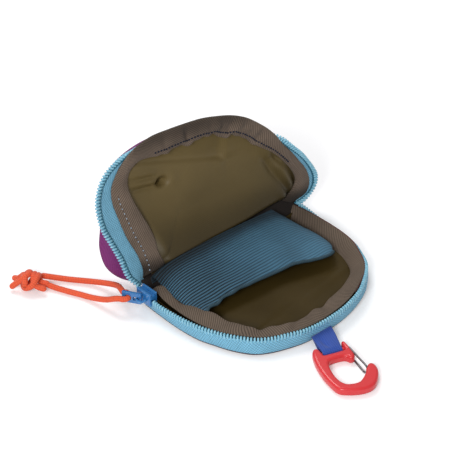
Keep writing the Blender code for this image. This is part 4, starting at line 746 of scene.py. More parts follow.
teeth_look, teeth_tree, teeth_shader = new_material("blue_zip_teeth", 0.42, specular=0.5)
teeth_grain = object_noise(teeth_tree, 900.0)
two_colours(teeth_tree, teeth_shader, calc(teeth_tree, "MULTIPLY_ADD", teeth_grain, 1.6, -0.2, clamp=True),
            (0.10, 0.36, 0.50), (0.34, 0.64, 0.78))
add_relief(teeth_tree, teeth_shader, teeth_grain, 0.00004)
bead_look = cloth_material("teal_zip_bead", (0.030, 0.160, 0.235), (0.0009, 0.0, 0.001, 0.2), 0.0001,
                           roughness=0.7, groove=0.5, patch=0.1)
edge_world = lid_world(lid_edge)
tape_out = unit(tape_world[:, 0] - tape_world[:, 3])
tape_normal = unit(np.cross(np.gradient(edge_world, axis=0), tape_out))
tape_normal *= np.sign(np.sum(tape_normal * grid_normals(tape_world)[:, 1], axis=1, keepdims=True))
lid_teeth_line = edge_world - tape_out * tooth_sink + tape_normal * 0.00015
lid_teeth = mesh_piece("lid_teeth", row_of_teeth(lid_teeth_line, tape_out, tape_normal, 0.0027), teeth_look,
                       "lid")
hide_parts("lid_zip_teeth")
lid_bead_line = edge_world - tape_out * 0.0019 + tape_normal * 0.0002
mesh_piece("lid_bead", tube_mesh(lid_bead_line, lid_bead_radius, 8), bead_look, "lid")

# Lid seam threads
# Lockstitch in pale and navy thread holds the band: a row up its left side near the zip tape, and a
# navy seam along the top with a few pale stitches beside it.
thread_twist, thread_sink = (0.0004, 40.0, 0.001, 0.2), 0.00006
thread_look = cloth_material("pale_thread", (0.38, 0.46, 0.55), thread_twist, 0.00004, roughness=0.7,
                             groove=0.4, patch=0.6, patch_scale=900.0)
navy_look = cloth_material("navy_thread", (0.010, 0.014, 0.032), thread_twist, 0.00004, roughness=0.7,
                           groove=0.4, patch=0.3)


def stitch_row(line, normal, pitch, share, radius):
    """A row of stitches: each is a short fat thread whose ends dip under the cloth, set one pitch apart
    and as long as its share of the pitch."""
    run = arc_length(line)
    count = int(run[-1] / pitch)
    start = (np.arange(count) + 0.15) * run[-1] / count
    steps = np.linspace(0.0, 1.0, 5)
    at = start[:, None] + steps[None] * pitch * share
    centre, up = (points_at(at, run, values) for values in (line, normal))
    up = unit(up)
    centre = centre + up * (np.sin(math.pi * steps) ** 0.5 * radius * 1.3 - thread_sink)[None, :, None]
    side = np.cross(unit(np.gradient(centre, axis=1)), up)
    turn = 2 * math.pi * np.arange(6)[:, None] / 6
    size = radius * np.array((0.45, 0.95, 1.0, 0.95, 0.45))[:, None, None]
    ring = side[:, :, None] * np.cos(turn) + up[:, :, None] * np.sin(turn)
    return bars_mesh(centre[:, :, None] + size * ring, 0.0)


band_normal = grid_normals(band_world)
toward_inside = lid_world(band_grid - np.array((0.0, 0.0, 1.0))) - band_world
band_normal *= np.sign(np.sum(band_normal * toward_inside, axis=-1, keepdims=True))
left_rows, top_rows, pale_rows = slice(1, 48), slice(79, 176), slice(114, 145)
for name, rows, column, lift, pitch, share, radius, look in (
        ("lid_pale_stitches", left_rows, 12, 0.0, 0.0026, 0.52, 0.00042, thread_look),
        ("lid_navy_stitches", left_rows, 12, 0.00001, 0.0013, 0.9, 0.00034, navy_look),
        ("lid_top_navy_seam", top_rows, 20, 0.0, 0.0016, 0.97, 0.00055, navy_look),
        ("lid_top_pale_stitches", pale_rows, 21, 0.0, 0.0022, 0.4, 0.0003, thread_look)):
    normal = band_normal[rows, column]
    stitches = stitch_row(band_world[rows, column] + normal * lift, normal, pitch, share, radius)
    mesh_piece(name, stitches, look, "lid")

# Cloth hinge
# The back edge of the pouch is one brown strip that joins the two halves. It is soft, and its fold lies in
# the shade under the lid.
hinge_rows, hinge_columns, hinge_thickness = 60, 16, 0.0008
across = np.linspace(-1.0, 1.0, hinge_rows)
hinge_x = 1.5 + 52.5 * across
sag = 1.0 - across ** 4
base_end = np.stack([hinge_x, np.full(hinge_rows, 37.9), np.full(hinge_rows, 3.0)], -1) * mm
lid_end_x = hinge_x + 1.2 * np.clip(across, 0.0, 1.0) ** 2
lid_end = on_lid(lid_end_x, np.full(hinge_rows, 3.4), np.full(hinge_rows, 7.2))
crest = np.stack([hinge_x, 40.6 + 0.8 * sag, 7.6 - 0.6 * sag], -1) * mm
hinge_grid = cross_lines([base_end, crest, lid_end], hinge_columns)
# Painted shade: the hinge cloth is coloured nearly black, much darker than the brown band, for the dark
# crease under the lid.
hinge_look = cloth_material("brown_hinge_cloth", (0.018, 0.013, 0.011), (0.0009, 90.0, 0.0008, 0.25), 0.0001,
                            roughness=0.85, groove=0.4, patch=0.3)
hinge_cloth = mesh_piece("hinge_cloth", skin_mesh(hinge_grid[::-1], hinge_thickness), hinge_look, None)
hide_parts("hinge_gusset_base", "hinge_gusset_lid")
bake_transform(hinge_cloth)

# Base shell
# The other half of the outside: dark cloth with a flat floor that lies on the table and a low rounded
# lip up to the zip tape.

# Stations round the base from the hinge's left end over the front to its right end. Each row: the zip's
# upper edge, the tape's lower edge, the band's outer edge and its inner edge.
base_table = np.array((
    (-56.4, 38.2, 8.9, -54.6, 39.0, 2.0, -50.6, 37.6, 7.4, -44.6, 37.0, 7.6),
    (-56.3, 33.6, 8.9, -54.6, 34.0, 2.0, -50.4, 33.4, 8.2, -44.4, 33.2, 8.4),
    (-56.9, 25.4, 8.9, -54.7, 27.0, 2.0, -51.8, 26.4, 8.4, -45.1, 27.4, 8.5),
    (-56.2, 17.1, 8.8, -54.6, 17.7, 2.0, -52.2, 17.8, 8.4, -44.8, 18.7, 8.5),
    (-55.1, 9.0, 8.8, -54.0, 8.0, 2.0, -51.9, 9.4, 8.3, -43.2, 9.2, 8.5),
    (-53.1, -0.1, 8.8, -52.4, -1.6, 2.0, -50.4, 0.2, 8.2, -40.8, 0.4, 8.5),
    (-50.1, -7.9, 8.8, -49.4, -9.6, 2.0, -47.8, -7.8, 8.1, -38.2, -8.6, 8.5),
    (-46.6, -15.1, 8.8, -46.2, -17.4, 2.0, -44.4, -14.4, 8.1, -35.9, -16.4, 8.5),
    (-39.4, -25.4, 8.8, -40.2, -26.4, 2.0, -37.6, -23.6, 8.0, -31.2, -22.0, 8.5),
    (-32.3, -30.7, 8.8, -33.0, -31.2, 2.0, -31.0, -28.8, 8.0, -25.2, -25.0, 8.4),
    (-24.1, -34.1, 8.8, -25.2, -34.2, 2.0, -23.2, -32.2, 8.0, -18.4, -28.2, 8.4),
    (-15.6, -37.2, 8.8, -16.2, -36.6, 2.0, -15.0, -34.8, 8.0, -12.2, -29.3, 8.3),
    (-5.1, -38.4, 8.8, -6.0, -37.4, 2.0, -4.8, -36.0, 8.0, -4.0, -29.6, 8.2),
    (7.3, -37.9, 8.8, 7.2, -37.0, 2.0, 7.0, -35.5, 8.0, 5.6, -28.9, 8.2),
    (17.2, -36.0, 8.8, 17.2, -35.2, 2.0, 16.6, -33.8, 8.0, 14.8, -27.2, 8.2),
    (25.9, -33.0, 8.8, 26.2, -32.2, 2.0, 25.2, -30.9, 8.1, 22.2, -25.2, 8.0),
    (33.3, -28.6, 8.8, 34.2, -28.2, 2.0, 32.6, -27.2, 8.3, 28.6, -22.2, 7.2),
    (39.6, -24.0, 8.6, 40.0, -23.4, 2.0, 39.0, -23.2, 8.5, 34.4, -18.8, 6.0),
    (44.6, -18.6, 8.2, 45.0, -17.8, 2.0, 44.0, -18.0, 8.6, 39.4, -13.8, 4.6),
    (49.4, -10.2, 7.0, 49.2, -9.6, 2.0, 48.2, -10.0, 8.8, 43.4, -6.6, 3.4),
    (52.6, -3.0, 6.3, 51.8, -2.6, 2.0, 51.2, -3.2, 9.0, 45.2, 0.4, 2.7),
    (54.0, 5.0, 6.0, 53.4, 5.2, 2.0, 52.6, 5.0, 9.1, 46.0, 7.4, 2.5),
    (54.4, 14.0, 6.0, 54.2, 14.0, 2.0, 53.0, 13.8, 9.1, 46.6, 14.8, 2.5),
    (54.4, 23.0, 6.3, 54.4, 23.0, 2.0, 52.9, 22.6, 9.0, 46.6, 22.4, 2.5),
    (54.4, 31.0, 7.4, 54.2, 31.0, 2.0, 52.5, 30.8, 8.9, 46.0, 30.4, 2.6),
    (54.0, 38.2, 8.6, 53.2, 38.2, 2.0, 52.0, 37.6, 8.4, 46.4, 37.4, 3.0),
    (53.4, 43.4, 8.9, 52.6, 42.0, 3.0, 51.6, 42.4, 8.3, 46.2, 41.4, 4.2),
))
base_edge, base_low, base_band_out, base_band_in = (table_line(base_table, column) * mm
                                                    for column in (0, 3, 6, 9))
base_middle = np.array((0.0, 0.004, 0.0))
floor_low, floor_high, hinge_room = 0.0001, 0.0021, 0.0024


def base_outline(line):
    """Closed outline: a line of the base and its way back along the hinge, from right to left, drawn
    in there to leave the lid room when it lies right back."""
    share = np.linspace(0.0, 1.0, 62)[1:-1, None]
    back = line[-1] * (1 - share) + line[0] * share
    back[:, 1] -= hinge_room * np.sin(math.pi * share[:, 0]) ** 0.3
    return np.vstack([line, back])


def level_rings(outline, steps):
    """Rings of an outline scaled about the middle of the base, one for each share and height."""
    rings = []
    for share, height in steps:
        ring = base_middle + (outline - base_middle) * share
        ring[:, 2] = height
        rings.append(ring)
    return np.array(rings)


foot_rings = level_rings(soften(base_outline(base_low), 4), (
    (0.992, 0.0029), (1.008, 0.0026), (1.014, 0.0019), (1.014, 0.0012), (1.006, 0.0006), (0.99, 0.00025),
    (0.96, floor_low), (0.85, floor_low), (0.6, floor_low), (0.3, floor_low)))
base_cloth_look = cloth_material("dark_coated_cloth", (0.050, 0.026, 0.038), coated_rows, 0.00005,
                                 roughness=0.6, groove=0.2, patch=0.3, patch_scale=45.0, sheen=0.15)
base_shell = mesh_piece("base_shell_cloth", dome_mesh(
    foot_rings[:, ::-1], np.array((0.0, 0.004, floor_low)), shell_thickness, foot_rings[:, ::-1, :2],
    base_middle[:2]), base_cloth_look, "base")
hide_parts("base_shell")

# Base lining
# The same olive cloth, lying loose on the floor with two shallow folds and turned up at its edge under the
# band. Its colour is painted much darker than the lid's lining, as shade on the floor of the base.
floor_shares = (0.84, 0.79, 0.74, 0.68, 0.62, 0.55, 0.48, 0.41, 0.33, 0.25, 0.17, 0.09)
floor_rings = level_rings(soften(base_outline(base_low), 8), [
    (0.965, 0.0062), (0.955, 0.0048), (0.94, 0.0034), (0.915, 0.0026), (0.88, 0.00225),
    *((share, floor_high) for share in floor_shares)])


def floor_relief(x, y):
    """Shallow folds of the loose lining in metres: two ridges across it and slow waves."""
    first = 0.0009 * bell((y + 0.0150) - 0.12 * x, 0.0022)
    second = 0.0006 * bell((y + 0.0215) + 0.10 * x, 0.0018)
    return first + second + 0.00025 * (1.0 + np.sin(190.0 * x + 80.0 * y))


inner_part = ramp(np.arange(len(floor_rings)), 3, 3.0)[:, None]
floor_rings[:, :, 2] += floor_relief(floor_rings[:, :, 0], floor_rings[:, :, 1]) * inner_part
floor_pole = np.array((0.0, 0.004, floor_high + float(floor_relief(0.0, 0.004))))
# Painted shade: the floor lining is the lid lining's olive made much darker.
floor_lining_look = cloth_material("olive_floor_lining", (0.048, 0.031, 0.007), (0.0005, 0.0, 0.0005, 0.5),
                                   0.00003, roughness=0.55, groove=0.12, patch=0.55, patch_scale=45.0,
                                   specular=0.12)
base_lining = mesh_piece("base_lining_cloth", dome_mesh(
    floor_rings[:, ::-1], floor_pole, lining_thickness, floor_rings[:, ::-1, :2], base_middle[:2]),
    floor_lining_look, "base")
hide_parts("base_lining")

# Base zip tape
# The other woven tape. It stands up from the shell's lip, leaning out a little, with its teeth on top.
foot_height, top_below_edge = 0.0018, 0.0006
tape_outward = unit(base_low - base_middle)
tape_foot = base_low + tape_outward * 0.0004
tape_foot[:, 2] = foot_height
tape_top = base_edge.copy()
tape_top[:, 2] -= top_below_edge
tape_bulge = 0.5 * (tape_foot + tape_top) + tape_outward * 0.0005
base_tape_grid = cross_lines([tape_foot, tape_bulge, tape_top], 16)
base_tape = mesh_piece("base_tape_cloth", skin_mesh(base_tape_grid, tape_thickness), tape_look, "base")
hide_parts("base_zip_tape")

# Base zip teeth
# The lower row of teeth on the tape's upper edge, with its bead. It also stands for the stop at its
# right end, which is hidden behind the lid's corner.
toothed = slice(9, -3)
base_toothed_edge = base_edge[toothed]
base_tooth_out = unit(unit(base_edge - tape_foot) * np.array((0.35, 0.35, 1.0)))
base_tooth_side = unit(np.cross(np.gradient(base_edge, axis=0), base_tooth_out))
base_teeth = mesh_piece("base_teeth", row_of_teeth(
    base_toothed_edge - base_tooth_out[toothed] * tooth_sink, base_tooth_out[toothed],
    base_tooth_side[toothed], 0.0028), teeth_look, "base")
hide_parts("base_zip_teeth", "zip_end_stop")
base_bead_line = base_toothed_edge - np.array((0.0, 0.0, 0.0009))
mesh_piece("base_bead", tube_mesh(base_bead_line, base_bead_radius, 8), bead_look, "base")

# Base band
# The brown facing of the base. Along the front it lies level and its loose inner edge waves above the
# lining; up the right side it stands against the wall, with a thin reddish piping along its top.
level = ramp(station, 0.62, -0.08)
edge_wave = 0.0006 * level * (np.sin(57.0 * station) + 0.5 * np.sin(119.0 * station + 0.7))
inward_wave = 0.0004 * level * np.sin(83.0 * station)
band_in = base_band_in.copy()
band_in[:, 2] += edge_wave
band_in[:, :2] += unit(base_middle[:2] - base_band_in[:, :2]) * inward_wave[:, None]
band_mid = 0.5 * (base_band_out + band_in)
band_mid[:, 2] += 0.0004 + 0.5 * edge_wave
band_lip = band_in + unit(band_in - band_mid) * 0.0004
band_lip[:, 2] -= 0.0007
base_band_grid = cross_lines([base_band_out, band_mid, band_in, band_lip], 26)
base_band_look = cloth_material("brown_base_band", (0.165, 0.122, 0.090), ribbed_rows, 0.00022,
                                roughness=0.85, groove=0.7, patch=0.5, patch_scale=60.0)
base_band = mesh_piece("base_band", skin_mesh(base_band_grid, band_thickness), base_band_look, "base")
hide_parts("base_facing_band")
piping_look = cloth_material("reddish_piping", (0.13, 0.050, 0.042), (0.0008, 0.0, 0.001, 0.3), 0.0001,
                             roughness=0.8, groove=0.4)
piping_line, piping_radius = base_band_out[132:-2], 0.0005
mesh_piece("base_piping", tube_mesh(piping_line, piping_radius, 8), piping_look, "base")

# Mesh pocket
# A teal stretch mesh, knitted in ribs that run along the hinge. It is sewn into the hinge seam and down
# both sides, pulled over the things in it so that it stands up under the lid, and slack at its hem.
pocket_back = np.array(((-47.6, 41.2, 12.6), (-44.5, 41.3, 14.6), (-39.5, 41.3, 15.9), (-27.0, 41.3, 16.3),
                        (-13.0, 41.2, 16.1), (1.0, 41.2, 15.8), (13.0, 41.2, 15.4), (21.5, 41.2, 15.0),
                        (29.0, 41.1, 14.8), (34.2, 41.0, 14.5)))
pocket_front = np.array(((-42.6, 5.7, 9.5), (-38.6, 6.6, 10.0), (-33.9, 7.3, 10.0), (-29.6, 7.8, 10.0),
                         (-23.9, 7.5, 10.0), (-15.8, 7.2, 10.0), (-8.2, 6.5, 10.0), (0.6, 5.7, 10.0),
                         (10.3, 4.4, 10.0), (18.7, 2.2, 10.0), (27.1, -0.4, 10.0), (31.2, -1.8, 10.0),
                         (35.1, -2.2, 9.9), (38.4, -1.1, 9.3), (40.2, 0.7, 7.8), (41.6, 2.3, 6.0)))
pocket_left = np.array(((-47.6, 41.2, 12.6), (-46.0, 40.4, 11.0), (-45.9, 34.3, 9.2), (-46.9, 26.1, 9.2),
                        (-47.1, 19.0, 9.2), (-46.2, 12.7, 9.2), (-44.0, 8.1, 9.2), (-42.6, 5.7, 9.5)))
pocket_right = np.array(((34.2, 41.0, 14.5), (36.9, 40.0, 12.0), (39.9, 36.8, 9.0), (42.2, 32.6, 6.4),
                         (43.2, 26.0, 6.0), (44.4, 19.9, 6.0), (44.9, 12.2, 6.0), (44.2, 5.8, 6.0),
                         (41.6, 2.3, 6.0)))
pocket_rows, pocket_columns, seam_rows = 210, 150, 24


def even_line(points, count):
    """Smooth line with its points spread evenly along it."""
    dense = smooth_line(points, 800)
    run = arc_length(dense)
    return points_at(np.linspace(0.0, run[-1], count), run, dense)


def pocket_surface(u, v):
    """Pocket in millimetres, u across and v from the back to the hem, both from 0 to 1. Its plan is the
    patch between its four edge lines: the two ruled surfaces between facing lines, less the one between
    the four corners. Its height is the ruled one from back to hem, falling to the sides at both ends."""
    back, front = even_line(pocket_back, pocket_columns), even_line(pocket_front, pocket_columns)
    left, right = even_line(pocket_left, pocket_rows), even_line(pocket_right, pocket_rows)
    a, b = u[:, :, None], v[:, :, None]
    ruled = back[None] * (1.0 - b) + front[None] * b
    sides = left[:, None] * (1.0 - a) + right[:, None] * a
    corners = ((back[0] * (1.0 - a) + back[-1] * a) * (1.0 - b)
               + (front[0] * (1.0 - a) + front[-1] * a) * b)
    grid = ruled + sides - corners
    crown = (1.0 - np.abs(2.0 * u - 1.0) ** 5.0) ** 0.6
    grid[:, :, 2] = sides[:, :, 2] * (1.0 - crown) + (ruled[:, :, 2] + 1.2 * np.sin(math.pi * v)) * crown
    return grid


def pocket_folds(u, v):
    """Soft undulation of the mesh in millimetres: broad waves that run slanting to the ribs."""
    return (0.5 * np.sin(10.0 * u + 3.2 * v) * np.sin(math.pi * v)
            + 0.35 * np.sin(18.0 * u - 5.0 * v + 1.0) * v + 0.25 * np.sin(28.0 * u + 2.0) * v ** 2)


u, v = np.meshgrid(np.linspace(0.0, 1.0, pocket_columns), np.linspace(0.0, 1.0, pocket_rows))
pocket_grid = pocket_surface(u, v)
inside = 1.0 - np.abs(2.0 * u - 1.0) ** 12
pocket_grid[:, :, 2] += pocket_folds(u, v) * inside * np.clip(v * 6.0, 0.0, 1.0)
rib_pitch, knit_pitch, mesh_thickness = 1.55, 0.00075, 0.0004
seam_height, smoothing_passes = 8.6, 10
rib_run = pocket_grid[:, :, 1] + 0.03 * pocket_grid[:, :, 0]
rib_height = 0.34 - 0.20 * ramp(pocket_grid[:, :, 0], -5.0, 28.0)
pocket_grid[:, :, 2] += rib_height * np.abs(np.sin(math.pi * rib_run / rib_pitch)) ** 0.8 * inside
drop = np.linspace(1.0, 0.0, seam_rows)[:-1, None]
seam = np.repeat(pocket_grid[:1], seam_rows - 1, axis=0)
seam[:, :, 1] += 0.7 * np.sin(math.pi * drop) - 0.6 * drop
seam[:, :, 2] -= (pocket_grid[:1, :, 2] - seam_height) * drop ** 1.3
pocket_grid = np.concatenate([seam, pocket_grid])
for _ in range(smoothing_passes):
    near = pocket_grid[seam_rows - 6:seam_rows + 8]
    pocket_grid[seam_rows - 5:seam_rows + 7] = 0.25 * near[:-2] + 0.5 * near[1:-1] + 0.25 * near[2:]
pocket_run = np.concatenate([rib_run[:1] + np.linspace(8.0, 0.3, seam_rows - 1)[:, None], rib_run])
pocket_uv = np.stack([pocket_grid[:, :, 0], pocket_run], -1)[:, ::-1] * mm
pocket_grid = pocket_grid[:, ::-1] * mm


def mesh_cloth_material():
    """Stretch mesh: a pale dotted crest on each rib and a groove between ribs darkened as painted shade, more
    towards the left, from the same rows as the ribs in the mesh, and a painted shadow of the lid that darkens
    it towards the lid."""
    material, tree, shader = new_material("teal_stretch_mesh", 0.7, specular=0.3, sheen=0.05)
    where, uv = cloth_places(tree)
    knit = thread_height(tree, uv, (knit_pitch, 0.0, rib_pitch * mm, 0.75))
    crest = thread_height(tree, uv, (rib_pitch * mm, 90.0, knit_pitch, 0.35))
    # Painted shade: the crests narrow and the grooves darken more towards the left.
    crest = calc(tree, "POWER", crest, even_change(tree, where, "X", (-0.044, 0.012, 2.6, 1.1)))
    tone = place_node(tree, cloth_tone, Color=(0.066, 0.182, 0.280, 1.0), Place=where, Height=crest,
                      Patch_scale=70.0, Patch=0.6,
                      Groove=even_change(tree, where, "X", (-0.030, 0.026, 0.94, 0.55)))
    # Painted shadow of the lid's overhang along the pocket's back edge.
    shade = even_change(tree, where, "Y", (0.0300, 0.0400, 1.0, 0.22))
    tree.links.new(scaled(tree, tone, shade), shader.inputs["Base Color"])
    add_relief(tree, shader, knit, 0.00015)
    return material


pocket = mesh_piece("pocket_mesh", skin_mesh(pocket_grid, mesh_thickness, pocket_uv), mesh_cloth_material(),
                    "base")
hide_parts("mesh_pocket")

# Pocket hem
# The mesh is turned over at its open edge and overlocked with teal thread, which makes a soft rounded
# hem that scallops a little at its left.
hem_look = cloth_material("teal_hem", (0.040, 0.085, 0.115), (0.0009, 0.0, 0.0016, 0.3), 0.00015,
                          roughness=0.75, groove=0.5, patch=0.3)
hem_line = pocket_grid[-1, 2:-2, :][::-1] + np.array((0.0, -0.0002, -0.0004))
hem_share = np.linspace(0.0, 1.0, len(hem_line))
hem_line[:, 1] += 0.0005 * np.sin(52.0 * hem_share) * bell(hem_share, 0.35)
hem_radius = 0.00085
pocket_hem = mesh_piece("pocket_hem", tube_mesh(hem_line, hem_radius, 12), hem_look, "base")
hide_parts("pocket_hem_binding")
for piece in (pocket, pocket_hem):
    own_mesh(piece)

# Slider
# Die-cast zip slider with glossy blue paint: two curved plates joined by a post at its front end, with
# an arched bridge on the outer plate that holds the puller.


def paint_material(name, colour, edge_highlight_and_wear, roughness, coat):
    """Painted or moulded part: even colour with a paler colour along its edges, from the Pointiness of the
    geometry and patchy by a noise, which is painted highlight together with wear, and a faint orange-peel
    relief."""
    material, tree, shader = new_material(name, roughness, specular=0.5, coat=coat)
    pointed = tree.nodes.new("ShaderNodeNewGeometry").outputs["Pointiness"]
    grain = object_noise(tree, 700.0)
    # Painted highlight with wear: the colour turns paler on convex edges, in patches.
    edge = calc(tree, "MULTIPLY", calc(tree, "MULTIPLY_ADD", pointed, 6.0, -3.1, clamp=True),
                calc(tree, "MULTIPLY_ADD", grain, 1.4, 0.0, clamp=True))
    two_colours(tree, shader, edge, colour, edge_highlight_and_wear)
    add_relief(tree, shader, grain, 0.00002)
    return material


slider_look = paint_material("blue_slider_paint", (0.005, 0.110, 0.36), (0.10, 0.34, 0.64), 0.24, 0.5)
for node in ("slider_body", "slider_bridge", "puller"):
    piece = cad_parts[node]
    piece.data.materials.clear()
    piece.data.materials.append(slider_look)

# Webbing loop
# A 12 mm strap of blue nylon webbing: both plies are sewn into the front seam, and the strap goes round
# the carabiner's bar.
webbing_look = cloth_material("blue_webbing", (0.028, 0.088, 0.430), (0.00085, 0.0, 0.0011, 0.5), 0.00012,
                              roughness=0.7, groove=0.45, patch=0.15, patch_scale=120.0, sheen=0.2,
                              second=(0.0011, 90.0, 0.00085, 0.3), mix=0.35)
bar = np.array((-11.54, -52.186, 2.4)) * mm
away = np.array((-0.333807, -0.942641, 0.0))
over = np.array((0.942641, -0.333807, 0.0))
seam_y = -0.0388
strap_half, strap_radius, strap_thickness = 0.0061, 0.00185, 0.0008
turns = np.linspace(0.0, math.pi, 15)
run = np.linspace(1.0, 0.04, 14)
ease = run ** 2 * (3.0 - 2.0 * run)
bend = np.stack([-strap_radius * np.sin(turns), -strap_radius * np.cos(turns)], -1)
strap_lines = []
for share in np.linspace(-1.0, 1.0, 25):
    back = (seam_y - bar[1] - over[1] * strap_half * share) / -away[1]
    narrow = strap_half * share * 0.16 + 0.0009
    crown = 0.0004 * (1.0 - share ** 4)
    low = np.stack([back * run, -strap_radius + (0.0010 + strap_radius) * ease], -1)
    high = np.stack([back * run, strap_radius + crown * (1 - ease) + (0.0022 - strap_radius) * ease], -1)
    line = np.vstack([low, bend, high[::-1]])
    squeeze = np.clip(1.0 - line[:, :1] / back, 0.0, 1.0) ** 1.5
    crease = bell(share + 0.25 - 0.5 * (squeeze - 0.6), 0.22) * np.sin(math.pi * squeeze) ** 2
    line = line - np.concatenate([np.zeros_like(crease), 0.0009 * crease], axis=1)
    strap_lines.append(bar - away * line[:, :1] + over * (strap_half * share - narrow * squeeze)
                       + np.array((0.0, 0.0, 1.0)) * line[:, 1:])
strap_grid = np.stack(strap_lines, axis=1)
strap = mesh_piece("webbing_strap", skin_mesh(strap_grid, strap_thickness), webbing_look, "webbing")
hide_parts("webbing_loop")

# Carabiner
# One moulding of red nylon: a flat hook with rounded edges, a wide crossbar, two lobes that carry the
# webbing's bar, and a boss for the gate's ends.
outline_shares = np.array((
    (-0.420, -0.045), (-0.364, -0.100), (-0.295, -0.100), (-0.258, -0.060), (-0.252, 0.045), (-0.234, 0.062),
    (0.195, 0.062), (0.210, 0.045), (0.212, -0.070), (0.240, -0.108), (0.285, -0.102), (0.316, -0.045),
    (0.320, 0.100), (0.322, 0.195), (0.272, 0.250), (0.190, 0.250), (0.135, 0.188), (0.050, 0.172),
    (-0.180, 0.176), (-0.248, 0.210), (-0.285, 0.300), (-0.300, 0.420), (-0.290, 0.530), (-0.242, 0.635),
    (-0.150, 0.685), (0.030, 0.700), (0.125, 0.665), (0.232, 0.600), (0.300, 0.545), (0.340, 0.490),
    (0.395, 0.445), (0.455, 0.415), (0.515, 0.425), (0.552, 0.480), (0.546, 0.560), (0.500, 0.640),
    (0.425, 0.725), (0.325, 0.805), (0.215, 0.842), (0.070, 0.852), (-0.090, 0.832), (-0.260, 0.788),
    (-0.380, 0.745), (-0.440, 0.670), (-0.470, 0.560), (-0.495, 0.440), (-0.498, 0.300), (-0.488, 0.170),
    (-0.458, 0.040)))


def rounded_outline(shares, passes):
    """Closed outline whose corners are cut: each side keeps the part between a quarter and three
    quarters of it, pass after pass."""
    p = np.asarray(shares, dtype=float)
    for _ in range(passes):
        after = np.roll(p, -1, axis=0)
        p = np.stack([0.75 * p + 0.25 * after, 0.25 * p + 0.75 * after], axis=1).reshape(-1, 2)
    return p


def carabiner_place(across_share, along_share, height):
    """World points of the carabiner from shares of its width and length, and a height."""
    across_share, along_share, height = (np.asarray(value, dtype=float)[..., None]
                                         for value in (across_share, along_share, height))
    flat = bar[:2] + across_share * carabiner_width * over[:2] + along_share * carabiner_length * away[:2]
    return np.concatenate([flat, height], axis=-1)


def plate_rings(outline, low, high, edge):
    """Rings of a flat plate with rounded edges, each with its height: the outline drawn in along its own
    normal by the edge radius less its cosine, at heights that follow the sine."""
    after = np.roll(outline, -1, axis=0)
    step = unit(after - np.roll(outline, 1, axis=0))
    inside = np.stack([-step[:, 1], step[:, 0]], -1)
    inside *= np.sign(np.sum(outline[:, 0] * after[:, 1] - after[:, 0] * outline[:, 1]))
    turns = np.radians((0.0, 22.0, 44.0, 66.0, 90.0))
    drawn = [outline + inside * edge * (1 - math.cos(turn)) for turn in turns]
    heights = [edge * (1 - math.sin(turn)) for turn in turns]
    lower = [(ring, low + height) for ring, height in zip(drawn[::-1], heights[::-1])]
    return lower + [(ring, high - height) for ring, height in zip(drawn, heights)]


carabiner_width, carabiner_length = 0.0252, 0.0369
hook_low, hook_high, hook_edge = 0.0001, 0.0046, 0.0014
bar_radius, wire_radius = 0.0011, 0.00052
shares = rounded_outline(outline_shares, 3)
count = len(shares)
hook_outline = carabiner_place(shares[:, 0], shares[:, 1], np.zeros(count))[:, :2]
plate = plate_rings(hook_outline, hook_low, hook_high, hook_edge)
plate_points = np.vstack([np.column_stack([ring, np.full(count, height)]) for ring, height in plate])
plate_quads, _, _ = grid_quads(len(plate), count, wrap=True)
plate_faces = [tuple(face) for face in plate_quads]
edges = [(k, (k + 1) % count) for k in range(count)]
for (ring, height), turned in ((plate[0], False), (plate[-1], True)):
    points, _, triangles, _, _, _ = delaunay_2d_cdt([Vector(point) for point in ring], edges, [], 1, 1e-7)
    cap_points = np.array([(point[0], point[1], height) for point in points])
    step = cap_points[np.array(triangles)[:, 1:]] - cap_points[np.array(triangles)[:, :1]]
    ahead = step[:, 0, 0] * step[:, 1, 1] - step[:, 0, 1] * step[:, 1, 0] > 0
    plate_faces += [tuple(k + len(plate_points) for k in (face if up == turned else face[::-1]))
                    for face, up in zip(triangles, ahead)]
    plate_points = np.vstack([plate_points, cap_points])
bar_line = bar + over * np.linspace(-0.0072, 0.0072, 12)[:, None]
red_look = paint_material("red_nylon", (0.68, 0.030, 0.036), (0.80, 0.09, 0.08), 0.32, 0.15)
carabiner = mesh_piece("carabiner_hook", joined([
    (plate_points, plate_faces, corner_values(plate_points[:, :2], plate_faces)),
    tube_mesh(bar_line, bar_radius, 16)]), red_look, "carabiner")
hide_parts("carabiner_frame")

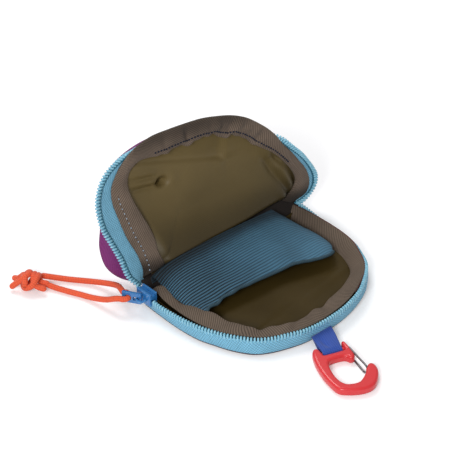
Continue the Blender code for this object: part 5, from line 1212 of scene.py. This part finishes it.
# Carabiner gate
# One bent spring wire: its two legs start in the boss, one on each face of the hook, and meet at the
# hook's nose.
gate_legs = np.array(((0.00, 1.00), (0.30, 1.00), (0.60, 1.00), (0.86, 1.00), (0.96, 0.90), (1.00, 0.70),
                      (1.00, 0.50), (1.00, 0.30), (0.96, 0.10), (0.86, 0.00), (0.60, 0.00), (0.30, 0.00),
                      (0.10, 0.00)))
reach, rise = gate_legs.T
gate_line = smooth_line(carabiner_place(0.282 + 0.050 * reach + (0.018 + 0.026 * reach) * rise,
                                        0.050 + 0.450 * reach, 0.0006 + 0.0035 * rise), 70)
wire_look, wire_tree, wire_shader = new_material("dark_spring_wire", 0.35, metallic=0.9)
wire_grain = object_noise(wire_tree, 1500.0)
two_colours(wire_tree, wire_shader, wire_grain, (0.10, 0.09, 0.095), (0.24, 0.22, 0.23))
wire_tree.links.new(calc(wire_tree, "MULTIPLY_ADD", wire_grain, 0.3, 0.2), wire_shader.inputs["Roughness"])
gate = mesh_piece("gate_wire", tube_mesh(gate_line, wire_radius, 12), wire_look, "gate")
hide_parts("carabiner_gate")

# Room
# A plain white floor that only takes the pouch's shadow, a plain world and two soft lamps.
floor_glow = 0.25
floor_mesh = bpy.data.meshes.new("floor")
floor_mesh.from_pydata([(-3, -3, 0), (3, -3, 0), (3, 3, 0), (-3, 3, 0)], [], [(0, 1, 2, 3)])
floor = bpy.data.objects.new("floor", floor_mesh)
bpy.context.collection.objects.link(floor)
floor_look, floor_tree, floor_shader = new_material("white_floor", 0.95, specular=0.0)
floor_shader.inputs["Base Color"].default_value = (0.86, 0.86, 0.87, 1.0)
floor_shader.inputs["Emission Color"].default_value = (1.0, 1.0, 1.0, 1.0)
light_path = floor_tree.nodes.new("ShaderNodeLightPath")
seen = calc(floor_tree, "MAXIMUM", light_path.outputs["Is Camera Ray"], light_path.outputs["Is Glossy Ray"])
glow = calc(floor_tree, "MULTIPLY", seen, floor_glow)
floor_tree.links.new(glow, floor_shader.inputs["Emission Strength"])
floor_mesh.materials.append(floor_look)
world = bpy.data.worlds.new("world")
bpy.context.scene.world = world
world.use_nodes = True
background = world.node_tree.nodes["Background"]
background.inputs[0].default_value = (1.0, 1.0, 1.0, 1.0)
background.inputs[1].default_value = 0.42


def soft_lamp(name, place, target, size, power):
    """A square lamp that faces its target."""
    data = bpy.data.lights.new(name, "AREA")
    data.size, data.energy = size, power
    lamp = bpy.data.objects.new(name, data)
    lamp.location = place
    lamp.rotation_euler = (Vector(target) - Vector(place)).to_track_quat("-Z", "Y").to_euler()
    bpy.context.collection.objects.link(lamp)


soft_lamp("front_lamp", (-0.70, -0.40, 0.55), (0.0, 0.03, 0.03), 0.26, 5.0)
soft_lamp("back_lamp", (0.12, 0.50, 0.80), (0.0, 0.03, 0.02), 0.50, 4.0)
bpy.context.scene.view_settings.view_transform = "Standard"
